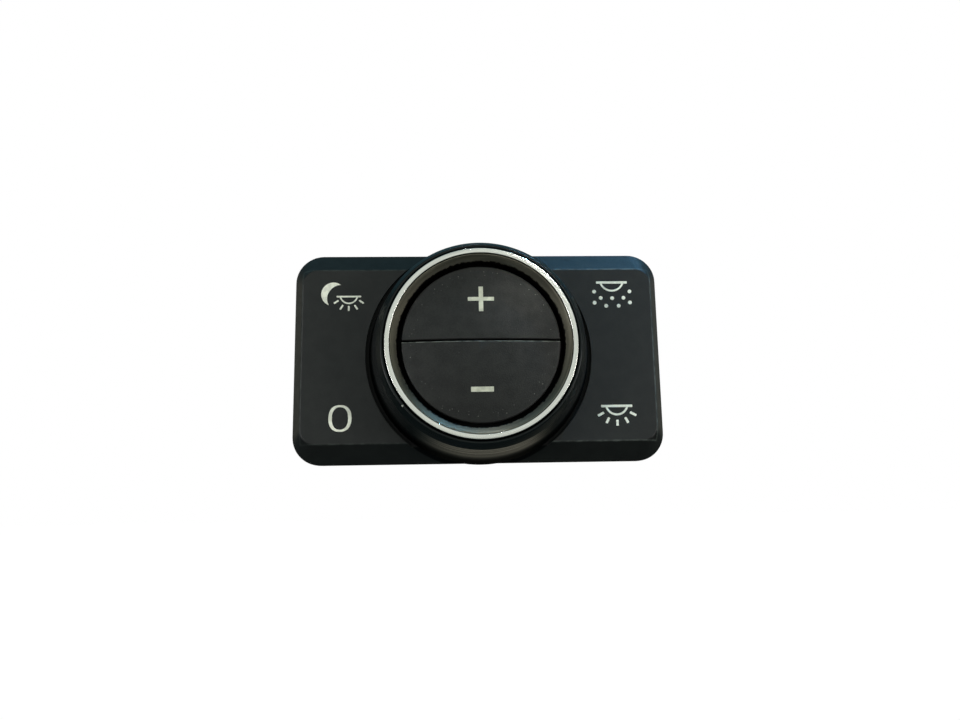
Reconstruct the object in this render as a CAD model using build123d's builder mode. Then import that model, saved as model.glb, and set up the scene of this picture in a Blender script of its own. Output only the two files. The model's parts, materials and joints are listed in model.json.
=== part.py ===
from build123d import *
from math import cos, radians, sin
import os

os.makedirs("parts", exist_ok=True)

# Interior light switch of a vehicle cab: a rotary selector round a two-part dimmer button.
# The knob turns about the Y axis. The driver looks along +Y, with Z up.
# The origin is on that axis, in the plane where the faceplate seats on the panel.
# A level is a distance in front of that plane, so a level behind it is negative.

# Faceplate
plate_width = 85.4
plate_edge = 1.6
plate_corner = 6.5
bevel_drop = 4.2
bevel_side = 2.3
bevel_end = 4.55
face_corner = 3.4
face_round = 0.45
plate_wall = 2.2
seat_side = 4.1
seat_end = 4.4
pocket_corner = 3.5
dish_margin = 0.8
dish_depth = 0.8
collar_wall = 1.2
collar_height = 3.0
collar_gap = 0.4
sleeve_clearance = 0.2
stop_block = 8
stop_clearance = 1.0

# Knob
knob_height = 14.2
flank_run = 3.26
foot_gap = 0.5
foot_round = 0.3
shoulder_width = 1.1
rim_round = 2.4
shell_wall = 1.6
shoulder_rise = 0.7
web_thickness = 1.65
socket_wall = 1.05
tab_width = 12
tab_depth = 0.6
rib_count = 8
rib_thickness = 1.2
rib_height = 4.4
sleeve_wall = 1.45
spigot_step = 0.5
key_count = 3
key_width = 14
key_rise = 0.8
key_slack = 0.5
barb_width = 24
barb_height = 0.6
lug_width = 8
lug_clearance = 0.3

# Rings in the knob's front, from the button gap outwards
button_gap = 0.87
inner_ring_width = 1.48
inner_ring_slope = 1.65
inner_ring_height = 5.65
trim_width = 1.04
trim_proud = 0.5
trim_depth = 2.3
trim_gap = 0.05
groove_neck = 1.2
groove_flare = 0.4
pointer_radius = 0.22
pointer_depth = 3.0
pointer_sink = 0.2

# Dimmer buttons
button_radius = 16.9
button_inset = 0.3
button_lip = 1.6
dome_rise = 1.3
cap_round = 0.35
split_round = 0.25
split_gap = 0.32
split_offset = 0.6
skirt_height = 6.4
skirt_wall = 1.2
skirt_clearance = 0.15
button_travel = 1.0
stem_radius = 2.2
stem_spread = 8.5
stem_rib = 1.2
stem_barb = 0.35
barb_gap = 0.1

# Centre hub
lip_overhang = 0.3
hub_wall = 1.4
bearing_clearance = 0.05
hub_floor = 1.6
floor_lift = 0.6
guide_wall = 1.2
flange_overhang = 0.8
end_play = 0.2
boss_radius = 2.3
boss_angle = 25.8

# Stations and detents: the pointer rests this far below the horizontal
pointer_angle = 38.6
detent_width = 1.7
ring_margin = 0.4
detent_thickness = 2.4
notch_depth = 0.5
notch_radius = 1.9
washer_thickness = 0.3
washer_width = 1.5
washer_play = 0.1
leaf_thickness = 0.4
leaf_width = 2.2
leaf_gap = 1.8
leaf_length = 19.0
leaf_clearance = 0.05
bump_half = 1.6
post_size = 3.0
post_grip = 1.5
magnet_radius = 0.7
magnet_depth = 1.6

# Circuit board and what stands on it
board_depth = 2.0
board_thickness = 1.6
board_margin = 0.4
board_corner = 1.5
switch_size = 6.0
switch_height = 3.4
plunger_radius = 1.6
plunger_seat = 1.2
led_length = 3.2
led_width = 2.8
led_height = 1.3
led_inset_x = 4.0
led_inset_z = 3.6
light_gap = 0.2
light_post = 3.0
light_bar = 1.2
light_plate = 1.4
rod_radius = 2.0
rod_flange = 1.0
chip_size = 7.0
chip_height = 1.0
chip_inset = 7.6
lead_count = 6
lead_pitch = 0.9
lead_width = 0.35
lead_reach = 0.8
capacitor_radius = 2.5
capacitor_clearance = 1.6
capacitor_inset_x = 14.0
capacitor_inset_z = 8.0
capacitor_pitch = 7.0
resistor_length = 2.0
resistor_width = 1.25
resistor_height = 0.55
resistor_pitch = 3.0
sensor_length = 2.9
sensor_width = 1.6
sensor_height = 1.1
sensor_margin = 1.0

# Rear housing
housing_gap = 0.8
housing_wall = 1.8
housing_corner = 3.0
housing_depth = 12.0
housing_round = 0.8
post_radius = 3.0
post_inset = 5.0
ledge_size = 3.0
hook_inset = 10.0
hook_width = 8.0
hook_wall = 1.2
hook_length = 4.8
hook_catch = 1.6
hook_reach = 1.1
hook_gap = 0.2

# Connector
connector_inset = 7.6
shroud_width = 22.0
shroud_height = 11.0
shroud_wall = 1.5
shroud_depth = 12.5
shroud_corner = 1.2
latch_width = 6.0
latch_rise = 1.2
latch_length = 3.0
pin_size = 0.64
pin_pitch_x = 4.0
pin_pitch_z = 2.8
pin_columns = 4
pin_rows = 2
pin_reach = 6.5
pin_tip = 0.15
header_margin = 1.3
header_height = 2.6

# Fasteners and panel clips
screw_radius = 1.0
screw_head_radius = 1.9
screw_head = 1.3
screw_slot = 0.7
screw_round = 0.4
hub_screw_bite = 3.2
board_screw_bite = 4.4
fit_gap = 0.05
clip_thickness = 0.5
clip_width = 9.0
clip_bulge = 2.0
clip_knee = 4.8
clip_return = 1.3
clip_bend = 0.8
panel_thickness = 2.2
strap_length = 1.2
strap_wall = 0.7
strap_end = 1.2

# Levels and radii that follow from the sizes
face_level = plate_edge + bevel_drop
dish_floor = face_level - dish_depth
underside = face_level - plate_wall

foot_level = dish_floor + foot_gap
rim_level = face_level + knob_height
shoulder_level = rim_level + shoulder_rise
crest_level = shoulder_level + trim_proud

gap_radius = button_radius + button_gap
inner_ring_radius = gap_radius + inner_ring_width
trim_radius = inner_ring_radius + trim_width
groove_radius = trim_radius + trim_gap
groove_mouth = groove_radius + groove_flare
rim_radius = groove_mouth + shoulder_width
foot_radius = rim_radius + flank_run
flank_slope = (rim_radius - foot_radius) / (rim_level - foot_level)
dish_radius = foot_radius + dish_margin
trim_floor = shoulder_level - trim_depth
inner_ring_edge = shoulder_level + trim_proud / 2
inner_ring_lip = inner_ring_edge - inner_ring_slope
inner_ring_floor = inner_ring_edge - inner_ring_height
web_level = inner_ring_floor - web_thickness

hub_radius = button_radius - lip_overhang
hub_bore = hub_radius - hub_wall
bore_radius = hub_radius + bearing_clearance
sleeve_radius = bore_radius + sleeve_wall
spigot_radius = sleeve_radius - spigot_step
flange_radius = hub_radius + flange_overhang
detent_radius = sleeve_radius + detent_width

ring_front = underside - washer_play - washer_thickness
ring_back = ring_front - detent_thickness
sleeve_back = ring_back - barb_height
flange_top = sleeve_back - end_play

pocket_width = plate_width - 2 * seat_side
pocket_height = 2 * (detent_radius + ring_margin)
plate_height = pocket_height + 2 * seat_end
face_width = plate_width - 2 * bevel_side
face_height = plate_height - 2 * bevel_end

pointer_rest = 180 + pointer_angle
knob_travel = 180 + 2 * pointer_angle
stations = (0, 2 * pointer_angle, 180, 180 + 2 * pointer_angle)

board_front = -board_depth
board_back = board_front - board_thickness
switch_top = board_front + switch_height
led_top = board_front + led_height
stem_back = switch_top + button_travel
hub_floor_back = stem_back + floor_lift
hub_floor_front = hub_floor_back + hub_floor
cap_edge = inner_ring_lip - button_inset
cap_crest = cap_edge + dome_rise
cap_back = cap_edge - button_lip
skirt_back = cap_back - skirt_height
guide_top = skirt_back - button_travel - end_play
skirt_radius = hub_bore - skirt_clearance
hub_top = cap_back - button_travel - end_play

housing_width = pocket_width - 2 * housing_gap
housing_height = pocket_height - 2 * housing_gap
cavity_width = housing_width - 2 * housing_wall
cavity_height = housing_height - 2 * housing_wall
housing_back = -housing_depth
housing_floor = housing_back + housing_wall
shroud_back = housing_back - shroud_depth

led_x = cavity_width / 2 - led_inset_x
led_z = cavity_height / 2 - led_inset_z
post_x = cavity_width / 2 - post_inset
hook_x = cavity_width / 2 - hook_inset
connector_z = connector_inset - cavity_height / 2
boss_place = hub_bore + hub_wall / 2 - boss_radius
boss_x = boss_place * cos(radians(boss_angle))
boss_z = boss_place * sin(radians(boss_angle))


def front(level):
    """Plane across the knob's axis that faces the driver, at a level."""
    return Plane.XZ.offset(level)


def beside(radius, angle=0):
    """Plane square to a radius, with local x round the axis and local y forward."""
    outward = Vector(cos(radians(angle)), 0, sin(radians(angle)))
    around = Vector(-sin(radians(angle)), 0, cos(radians(angle)))
    return Plane(origin=outward * radius, x_dir=around, z_dir=outward)


# Half section through the axis: local x is the radius and local y the level
section = Plane(origin=(0, 0, 0), x_dir=(1, 0, 0), z_dir=(0, 0, -1))


def shell_inner(level):
    """Radius of the knob's hollow under its flank, at a level."""
    return foot_radius - shell_wall + flank_slope * (level - foot_level)


def sector(inner, outer, middle, width):
    """Draw the piece of a ring about an angle in the sketch being built."""
    with BuildLine() as outline:
        outer_arc = CenterArc((0, 0), outer, middle - width / 2, width)
        inner_arc = CenterArc((0, 0), inner, middle - width / 2, width)
        Line(outer_arc @ 0, inner_arc @ 0)
        Line(outer_arc @ 1, inner_arc @ 1)
    make_face(outline.edges())


def round_edges(part, radius, level):
    """Round edges of a turned piece at one radius and one level."""
    circles = part.edges().filter_by(GeomType.CIRCLE)
    return circles.filter_by(
        lambda edge: abs(edge.radius - radius) < 0.01 and abs(edge.arc_center.Y + level) < 0.01
    )


# Faceplate: a bevelled cover, hollow behind, with a dish and a dust collar under the knob
collar_top = dish_floor + collar_height
collar_radius = shell_inner(collar_top) - collar_gap
leaf_place = detent_radius + leaf_gap + leaf_thickness / 2
post_start = leaf_length / 2 - post_grip
post_back = ring_back - end_play
hook_face = cavity_height / 2 - hook_gap
hook_tip = underside - hook_length

with BuildPart() as faceplate:
    with BuildSketch(front(0)):
        RectangleRounded(plate_width, plate_height, plate_corner)
    extrude(amount=plate_edge)
    with BuildSketch(front(plate_edge)):
        RectangleRounded(plate_width, plate_height, plate_corner)
    with BuildSketch(front(face_level)):
        RectangleRounded(face_width, face_height, face_corner)
    loft(ruled=True)
    fillet(faceplate.faces().sort_by(Axis.Y)[0].edges(), face_round)
    with BuildSketch(front(dish_floor)):
        Circle(dish_radius)
    extrude(amount=dish_depth, mode=Mode.SUBTRACT)
    with BuildSketch(front(plate_edge)):
        Circle(collar_radius)
        Circle(collar_radius - collar_wall, mode=Mode.SUBTRACT)
    extrude(amount=collar_top - plate_edge)
    with BuildSketch(front(0)):
        RectangleRounded(pocket_width, pocket_height, pocket_corner)
    extrude(amount=underside, mode=Mode.SUBTRACT)
    with BuildSketch(front(underside)):
        Circle(sleeve_radius + sleeve_clearance)
    extrude(amount=plate_wall, mode=Mode.SUBTRACT)
    # Stops on the dish floor that end the knob's turn both ways
    swing = (lug_width + stop_block) / 2 + stop_clearance
    with BuildSketch(front(dish_floor)):
        for stop_angle in (pointer_rest + swing, pointer_rest - knob_travel - swing):
            sector(
                sleeve_radius + 2 * sleeve_clearance,
                collar_radius - collar_wall / 2,
                stop_angle,
                stop_block,
            )
    extrude(amount=collar_height)
    # Slotted posts that hold the ends of the two leaf springs
    post_middle = post_start + post_size / 2
    with BuildSketch(front(post_back)):
        with GridLocations(2 * leaf_place, 2 * post_middle, 2, 2):
            Rectangle(post_size, post_size)
    extrude(amount=underside - post_back)
    slot_length = post_grip + fit_gap
    with BuildSketch(front(post_back)):
        with GridLocations(2 * leaf_place, 2 * post_start + slot_length, 2, 2):
            Rectangle(leaf_thickness + 2 * fit_gap, slot_length)
    extrude(amount=ring_front - post_back, mode=Mode.SUBTRACT)
    # Snap hooks that reach through windows in the rear housing
    for hook_middle in (-hook_x, hook_x):
        with BuildSketch(beside(hook_middle)):
            with BuildLine():
                Polyline(
                    (hook_face - hook_wall, underside),
                    (hook_face, underside),
                    (hook_face, hook_tip + hook_catch),
                    (hook_face + hook_reach, hook_tip + hook_catch),
                    (hook_face, hook_tip),
                    (hook_face - hook_wall, hook_tip),
                    close=True,
                )
            make_face()
            mirror(about=Plane.YZ)
        extrude(amount=hook_width / 2, both=True)
faceplate.part.label = "faceplate"
export_step(faceplate.part, "parts/faceplate.step")

# Knob: a tapered shell that holds both rings and is pressed on the web of a sleeve
web_radius = shell_inner(web_level) - socket_wall
tab_radius = web_radius + tab_depth
rib_level = web_level - rib_height
rib_end = web_radius - end_play
rib_middle = (sleeve_radius + rib_end) / 2
key_radius = spigot_radius + key_rise
pointer_place = groove_mouth + pointer_radius + pointer_sink
pointer_spot = (
    pointer_place * cos(radians(pointer_rest)),
    pointer_place * sin(radians(pointer_rest)),
)
pointer_top = shoulder_level - pointer_sink

with BuildPart() as knob:
    with BuildSketch(section):
        with BuildLine():
            Polyline(
                (web_radius + fit_gap, web_level),
                (shell_inner(web_level), web_level),
                (shell_inner(foot_level), foot_level),
                (foot_radius, foot_level),
                (rim_radius, rim_level),
                (groove_mouth, shoulder_level),
                (groove_radius, trim_floor + groove_neck),
                (groove_radius, trim_floor),
                (inner_ring_radius, trim_floor),
                (inner_ring_radius, inner_ring_floor),
                (web_radius + fit_gap, inner_ring_floor),
                close=True,
            )
        make_face()
    revolve(axis=Axis.Y)
    fillet(round_edges(knob, rim_radius, rim_level), rim_round)
    fillet(round_edges(knob, foot_radius, foot_level), foot_round)
    with BuildSketch(front(web_level)):
        for tab in range(key_count):
            sector(web_radius, tab_radius + fit_gap, 360 / key_count * tab, tab_width + key_slack)
    extrude(amount=web_thickness, mode=Mode.SUBTRACT)
    with BuildSketch(front(shoulder_level - pointer_depth)):
        with Locations(pointer_spot):
            Circle(pointer_radius + fit_gap / 2)
    extrude(amount=pointer_depth, mode=Mode.SUBTRACT)
knob.part.label = "knob"
export_step(knob.part, "parts/knob.step")

# Sleeve that turns on the hub, with a ribbed web whose tabs drive the knob
with BuildPart() as knob_sleeve:
    with BuildSketch(section):
        with BuildLine():
            Polyline(
                (bore_radius, sleeve_back),
                (spigot_radius, sleeve_back),
                (spigot_radius, ring_front),
                (sleeve_radius, ring_front),
                (sleeve_radius, web_level),
                (web_radius, web_level),
                (web_radius, inner_ring_floor),
                (bore_radius, inner_ring_floor),
                close=True,
            )
        make_face()
    revolve(axis=Axis.Y)
    with BuildSketch(front(web_level)):
        for tab in range(key_count):
            sector(web_radius - fit_gap, tab_radius, 360 / key_count * tab, tab_width)
    extrude(amount=web_thickness)
    with BuildSketch(front(rib_level)):
        with PolarLocations(rib_middle, rib_count):
            Rectangle(rib_end - sleeve_radius + 2 * fit_gap, rib_thickness)
    extrude(amount=rib_height)
    # Keys that turn the detent ring, and barbs that hold it on
    with BuildSketch(front(ring_back)):
        for key in range(key_count):
            sector(spigot_radius - fit_gap, key_radius, 360 / key_count * (key + 0.5), key_width)
    extrude(amount=detent_thickness)
    with BuildSketch(front(sleeve_back)):
        for barb in range(key_count):
            sector(spigot_radius - fit_gap, sleeve_radius, 360 / key_count * barb, barb_width)
    extrude(amount=barb_height)
    # Lug in line with the pointer, which meets the faceplate's stops
    lug_back = dish_floor + lug_clearance
    lug_radius = collar_radius - collar_wall - lug_clearance
    with BuildSketch(front(lug_back)):
        sector(sleeve_radius - fit_gap, lug_radius, pointer_rest, lug_width)
    extrude(amount=web_level - lug_back)
knob_sleeve.part.label = "knob_sleeve"
export_step(knob_sleeve.part, "parts/knob_sleeve.step")

# Pointer: a small pale window in the knob's shoulder
with BuildPart() as pointer_window:
    with BuildSketch(front(shoulder_level - pointer_depth)):
        with Locations(pointer_spot):
            Circle(pointer_radius)
    extrude(amount=pointer_top + pointer_depth - shoulder_level)
pointer_window.part.label = "pointer_window"
export_step(pointer_window.part, "parts/pointer_window.step")

# Bright trim ring with a full round front
with BuildPart() as trim_ring:
    with BuildSketch(section):
        with BuildLine():
            wall = Polyline(
                (trim_radius, shoulder_level),
                (trim_radius, trim_floor),
                (inner_ring_radius + fit_gap, trim_floor),
                (inner_ring_radius + fit_gap, inner_ring_edge),
            )
            crest = (inner_ring_radius + trim_width * 0.45, crest_level)
            ThreePointArc(wall @ 0, crest, wall @ 1)
        make_face()
    revolve(axis=Axis.Y)
trim_ring.part.label = "trim_ring"
export_step(trim_ring.part, "parts/trim_ring.step")

# Satin inner ring: a funnel that leads down to the buttons
with BuildPart() as inner_ring:
    with BuildSketch(section):
        with BuildLine():
            Polyline(
                (gap_radius, inner_ring_lip),
                (gap_radius, inner_ring_floor),
                (inner_ring_radius - fit_gap, inner_ring_floor),
                (inner_ring_radius - fit_gap, inner_ring_edge),
                close=True,
            )
        make_face()
    revolve(axis=Axis.Y)
inner_ring.part.label = "inner_ring"
export_step(inner_ring.part, "parts/inner_ring.step")

# Detent ring: notches in its edge set the four stations under both leaf springs
magnet_place = (key_radius + fit_gap + detent_radius) / 2
magnet_spot = (
    magnet_place * cos(radians(pointer_rest)),
    magnet_place * sin(radians(pointer_rest)),
)

with BuildPart() as detent_ring:
    with BuildSketch(front(ring_back)):
        Circle(detent_radius)
        for station in stations:
            with PolarLocations(detent_radius - notch_depth + notch_radius, 1, start_angle=station):
                Circle(notch_radius, mode=Mode.SUBTRACT)
        Circle(spigot_radius + fit_gap, mode=Mode.SUBTRACT)
    extrude(amount=detent_thickness)
    with BuildSketch(front(ring_back)):
        for key in range(key_count):
            middle = 360 / key_count * (key + 0.5)
            sector(spigot_radius, key_radius + fit_gap, middle, key_width + key_slack)
    extrude(amount=detent_thickness, mode=Mode.SUBTRACT)
    with BuildSketch(front(ring_back)):
        with Locations(magnet_spot):
            Circle(magnet_radius + fit_gap / 2)
    extrude(amount=magnet_depth, mode=Mode.SUBTRACT)
detent_ring.part.label = "detent_ring"
export_step(detent_ring.part, "parts/detent_ring.step")

# Friction washer between the detent ring and the faceplate
with BuildPart() as friction_washer:
    with BuildSketch(front(ring_front)):
        Circle(sleeve_radius + fit_gap + washer_width)
        Circle(sleeve_radius + fit_gap, mode=Mode.SUBTRACT)
    extrude(amount=washer_thickness)
friction_washer.part.label = "friction_washer"
export_step(friction_washer.part, "parts/friction_washer.step")

# Magnet in the detent ring, in line with the pointer
with BuildPart() as position_magnet:
    with BuildSketch(front(ring_back)):
        with Locations(magnet_spot):
            Circle(magnet_radius)
    extrude(amount=magnet_depth)
position_magnet.part.label = "position_magnet"
export_step(position_magnet.part, "parts/position_magnet.step")

# Leaf springs whose bumps ride on the detent ring
with BuildPart() as right_detent_spring:
    with BuildSketch(front(ring_front - end_play / 2 - leaf_width)):
        with BuildLine():
            lower = Line((leaf_place, -leaf_length / 2), (leaf_place, -bump_half))
            upper = Line((leaf_place, bump_half), (leaf_place, leaf_length / 2))
            bump_top = detent_radius + leaf_clearance + leaf_thickness / 2
            ThreePointArc(lower @ 1, (bump_top, 0), upper @ 0)
        trace(line_width=leaf_thickness)
    extrude(amount=leaf_width)
right_detent_spring.part.label = "right_detent_spring"
export_step(right_detent_spring.part, "parts/right_detent_spring.step")

with BuildPart() as left_detent_spring:
    mirror(right_detent_spring.part, about=Plane.YZ)
left_detent_spring.part.label = "left_detent_spring"
export_step(left_detent_spring.part, "parts/left_detent_spring.step")

# Centre hub: the fixed barrel that the knob turns on, with the buttons' guides inside
with BuildPart() as centre_hub:
    with BuildSketch(front(board_front)):
        Circle(flange_radius)
    extrude(amount=flange_top - board_front)
    with BuildSketch(front(flange_top)):
        Circle(hub_radius)
    extrude(amount=hub_top - flange_top)
    with BuildSketch(front(board_front)):
        Circle(hub_bore)
    extrude(amount=hub_top - board_front, mode=Mode.SUBTRACT)
    with BuildSketch(front(hub_floor_back)):
        Circle(hub_bore + hub_wall / 2)
    extrude(amount=hub_floor)
    with BuildSketch(front(hub_floor_front)):
        with GridLocations(0, 2 * stem_spread, 1, 2):
            Circle(stem_radius + fit_gap + guide_wall)
    extrude(amount=guide_top - hub_floor_front)
    with BuildSketch(front(hub_floor_back)):
        with GridLocations(0, 2 * stem_spread, 1, 2):
            Circle(stem_radius + fit_gap)
        Circle(rod_radius + fit_gap)
    extrude(amount=guide_top - hub_floor_back, mode=Mode.SUBTRACT)
    with BuildSketch(front(board_front)):
        with GridLocations(2 * boss_x, 2 * boss_z, 2, 2):
            Circle(boss_radius)
    extrude(amount=hub_floor_back - board_front)
    with BuildSketch(front(board_front)):
        with GridLocations(2 * boss_x, 2 * boss_z, 2, 2):
            Circle(screw_radius + fit_gap)
    extrude(amount=hub_screw_bite + end_play, mode=Mode.SUBTRACT)
centre_hub.part.label = "centre_hub"
export_step(centre_hub.part, "parts/centre_hub.step")

# Blank that both dimmer buttons are parted from: a shallow dome with a guide skirt
with BuildPart() as button_blank:
    with BuildSketch(section):
        with BuildLine():
            dome = TangentArc((0, cap_crest), (button_radius, cap_edge), tangent=(1, 0))
            Polyline(
                dome @ 1,
                (button_radius, cap_back),
                (skirt_radius, cap_back),
                (skirt_radius, skirt_back),
                (skirt_radius - skirt_wall, skirt_back),
                (skirt_radius - skirt_wall, cap_back),
                (0, cap_back),
                (0, cap_crest),
            )
        make_face()
    revolve(axis=Axis.Y)
    fillet(round_edges(button_blank, button_radius, cap_edge), cap_round)
    with BuildSketch(front(stem_back)):
        with GridLocations(0, 2 * stem_spread, 1, 2):
            Circle(stem_radius)
    extrude(amount=cap_back - stem_back)
    # Barbs that snap behind the hub's floor
    with BuildSketch(front(stem_back)):
        with GridLocations(0, 2 * stem_spread, 1, 2):
            Circle(stem_radius + stem_barb)
    extrude(amount=floor_lift - barb_gap)
    rib_half = ((skirt_radius - skirt_wall / 2) ** 2 - stem_spread**2) ** 0.5
    with BuildSketch(front(skirt_back)):
        with GridLocations(0, 2 * stem_spread, 1, 2):
            Rectangle(2 * rib_half, stem_rib)
    extrude(amount=skirt_height)

with BuildPart() as plus_button:
    add(button_blank.part)
    split(bisect_by=Plane.XY.offset(split_offset + split_gap / 2), keep=Keep.TOP)
    parting = plus_button.faces().sort_by(Axis.Z)[0].edges().sort_by(Axis.Y)[0]
    fillet(parting, split_round)
plus_button.part.label = "plus_button"
export_step(plus_button.part, "parts/plus_button.step")

with BuildPart() as minus_button:
    add(button_blank.part)
    split(bisect_by=Plane.XY.offset(split_offset - split_gap / 2), keep=Keep.BOTTOM)
    parting = minus_button.faces().sort_by(Axis.Z)[-1].edges().sort_by(Axis.Y)[0]
    fillet(parting, split_round)
minus_button.part.label = "minus_button"
export_step(minus_button.part, "parts/minus_button.step")

# Light rod that lights the two button marks from the board
rod_back = led_top + light_gap

with BuildPart() as button_light_rod:
    with BuildSketch(front(rod_back)):
        Circle(rod_radius)
    extrude(amount=hub_top - rod_back)
    with BuildSketch(front(hub_floor_front)):
        Circle(stem_spread - stem_radius - guide_wall - 2 * light_gap)
    extrude(amount=rod_flange)
button_light_rod.part.label = "button_light_rod"
export_step(button_light_rod.part, "parts/button_light_rod.step")

# Push switches on the board, with a plunger each that moves with its button
with BuildPart() as plus_switch:
    with BuildSketch(front(board_front)):
        with Locations((0, stem_spread)):
            RectangleRounded(switch_size, switch_size, 0.4)
    extrude(amount=switch_height)
    with BuildSketch(front(switch_top)):
        with Locations((0, stem_spread)):
            Circle(plunger_radius + fit_gap)
    extrude(amount=-(plunger_seat + button_travel + light_gap), mode=Mode.SUBTRACT)
plus_switch.part.label = "plus_switch"
export_step(plus_switch.part, "parts/plus_switch.step")

with BuildPart() as minus_switch:
    mirror(plus_switch.part, about=Plane.XY)
minus_switch.part.label = "minus_switch"
export_step(minus_switch.part, "parts/minus_switch.step")

with BuildPart() as plus_plunger:
    with BuildSketch(front(switch_top - plunger_seat)):
        with Locations((0, stem_spread)):
            Circle(plunger_radius)
    extrude(amount=stem_back - switch_top + plunger_seat)
plus_plunger.part.label = "plus_plunger"
export_step(plus_plunger.part, "parts/plus_plunger.step")

with BuildPart() as minus_plunger:
    mirror(plus_plunger.part, about=Plane.XY)
minus_plunger.part.label = "minus_plunger"
export_step(minus_plunger.part, "parts/minus_plunger.step")

# Circuit board
pin_span_x = (pin_columns - 1) * pin_pitch_x
pin_span_z = (pin_rows - 1) * pin_pitch_z

with BuildPart() as circuit_board:
    with BuildSketch(front(board_back)):
        RectangleRounded(cavity_width - 2 * board_margin, cavity_height - 2 * board_margin, board_corner)
        with GridLocations(2 * boss_x, 2 * boss_z, 2, 2):
            Circle(screw_radius + fit_gap, mode=Mode.SUBTRACT)
        with GridLocations(2 * post_x, 0, 2, 1):
            Circle(screw_radius + fit_gap, mode=Mode.SUBTRACT)
        with Locations((0, connector_z)):
            with GridLocations(pin_pitch_x, pin_pitch_z, pin_columns, pin_rows):
                Circle(pin_size, mode=Mode.SUBTRACT)
    extrude(amount=board_thickness)
circuit_board.part.label = "circuit_board"
export_step(circuit_board.part, "parts/circuit_board.step")

# Lamps under the four corner symbols and under the buttons
with BuildPart() as symbol_leds:
    with BuildSketch(front(board_front)):
        with GridLocations(2 * led_x, 2 * led_z, 2, 2):
            Rectangle(led_length, led_width)
    extrude(amount=led_height)
symbol_leds.part.label = "symbol_leds"
export_step(symbol_leds.part, "parts/symbol_leds.step")

with BuildPart() as button_led:
    with BuildSketch(front(board_front)):
        Rectangle(led_length, led_width)
    extrude(amount=led_height)
button_led.part.label = "button_led"
export_step(button_led.part, "parts/button_led.step")

# Light guides: a clear bar behind each side of the faceplate, with a post over each lamp
guide_back = underside - light_plate
guide_edge = cavity_width / 2 - light_gap
guide_arm = guide_edge - led_x + light_post / 2

with BuildPart() as right_light_guide:
    with BuildSketch(front(guide_back)):
        with Locations((guide_edge - light_bar / 2, 0)):
            Rectangle(light_bar, 2 * led_z + light_post)
        with Locations((guide_edge - guide_arm / 2, 0)):
            with GridLocations(0, 2 * led_z, 1, 2):
                Rectangle(guide_arm, light_post)
    extrude(amount=light_plate)
    with BuildSketch(front(guide_back)):
        with Locations((led_x, 0)):
            with GridLocations(0, 2 * led_z, 1, 2):
                Rectangle(light_post, light_post)
    extrude(amount=-(guide_back - led_top - light_gap), taper=3)
right_light_guide.part.label = "right_light_guide"
export_step(right_light_guide.part, "parts/right_light_guide.step")

with BuildPart() as left_light_guide:
    mirror(right_light_guide.part, about=Plane.YZ)
left_light_guide.part.label = "left_light_guide"
export_step(left_light_guide.part, "parts/left_light_guide.step")

# Hall sensors under the magnet's four stations
sensor_place = flange_radius + sensor_width / 2 + sensor_margin

with BuildPart() as hall_sensors:
    for station in stations:
        sensor_angle = pointer_rest - station
        with BuildSketch(front(board_front)):
            with PolarLocations(sensor_place, 1, start_angle=sensor_angle):
                Rectangle(sensor_width, sensor_length)
        extrude(amount=sensor_height)
hall_sensors.part.label = "hall_sensors"
export_step(hall_sensors.part, "parts/hall_sensors.step")

# Controller chip with leads on two sides, behind the board
chip_z = cavity_height / 2 - chip_inset
lead_span = chip_size + 2 * lead_reach

with BuildPart() as controller_chip:
    with BuildSketch(front(board_back - chip_height)):
        with Locations((0, chip_z)):
            Rectangle(chip_size, chip_size)
    extrude(amount=chip_height * 0.9)
    with BuildSketch(front(board_back - chip_height / 2)):
        with Locations((0, chip_z)):
            with GridLocations(lead_pitch, 0, lead_count, 1):
                Rectangle(lead_width, lead_span)
    extrude(amount=chip_height / 2)
controller_chip.part.label = "controller_chip"
export_step(controller_chip.part, "parts/controller_chip.step")

capacitor_height = board_back - housing_floor - capacitor_clearance

with BuildPart() as capacitors:
    with BuildSketch(front(board_back - capacitor_height)):
        with Locations((cavity_width / 2 - capacitor_inset_x, cavity_height / 2 - capacitor_inset_z)):
            with GridLocations(capacitor_pitch, 0, 2, 1):
                Circle(capacitor_radius)
    extrude(amount=capacitor_height)
capacitors.part.label = "capacitors"
export_step(capacitors.part, "parts/capacitors.step")

with BuildPart() as resistors:
    with BuildSketch(front(board_back - resistor_height)):
        with Locations((capacitor_inset_x - cavity_width / 2, 0)):
            with GridLocations(resistor_pitch, 2 * chip_z, 3, 2):
                Rectangle(resistor_width, resistor_length)
    extrude(amount=resistor_height)
resistors.part.label = "resistors"
export_step(resistors.part, "parts/resistors.step")

# Connector: pins in a header on the board, which reach into the housing's shroud
header_back = board_back - header_height
pin_back = housing_back - pin_reach

with BuildPart() as connector_pins:
    with BuildSketch(front(pin_back)):
        with Locations((0, connector_z)):
            with GridLocations(pin_pitch_x, pin_pitch_z, pin_columns, pin_rows):
                Rectangle(pin_size, pin_size)
    extrude(amount=board_front - pin_back)
    chamfer(connector_pins.faces().filter_by(Axis.Y).sort_by(Axis.Y)[-pin_columns * pin_rows:].edges(), pin_tip)
connector_pins.part.label = "connector_pins"
export_step(connector_pins.part, "parts/connector_pins.step")

with BuildPart() as connector_header:
    with BuildSketch(front(header_back)):
        with Locations((0, connector_z)):
            Rectangle(pin_span_x + 2 * header_margin, pin_span_z + 2 * header_margin)
            with GridLocations(pin_pitch_x, pin_pitch_z, pin_columns, pin_rows):
                Rectangle(pin_size, pin_size, mode=Mode.SUBTRACT)
    extrude(amount=header_height)
connector_header.part.label = "connector_header"
export_step(connector_header.part, "parts/connector_header.step")

# Rear housing: a tray with posts for the board and a shroud for the connector
pocket_depth = clip_thickness + fit_gap
strap_back = housing_back + housing_round

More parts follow.
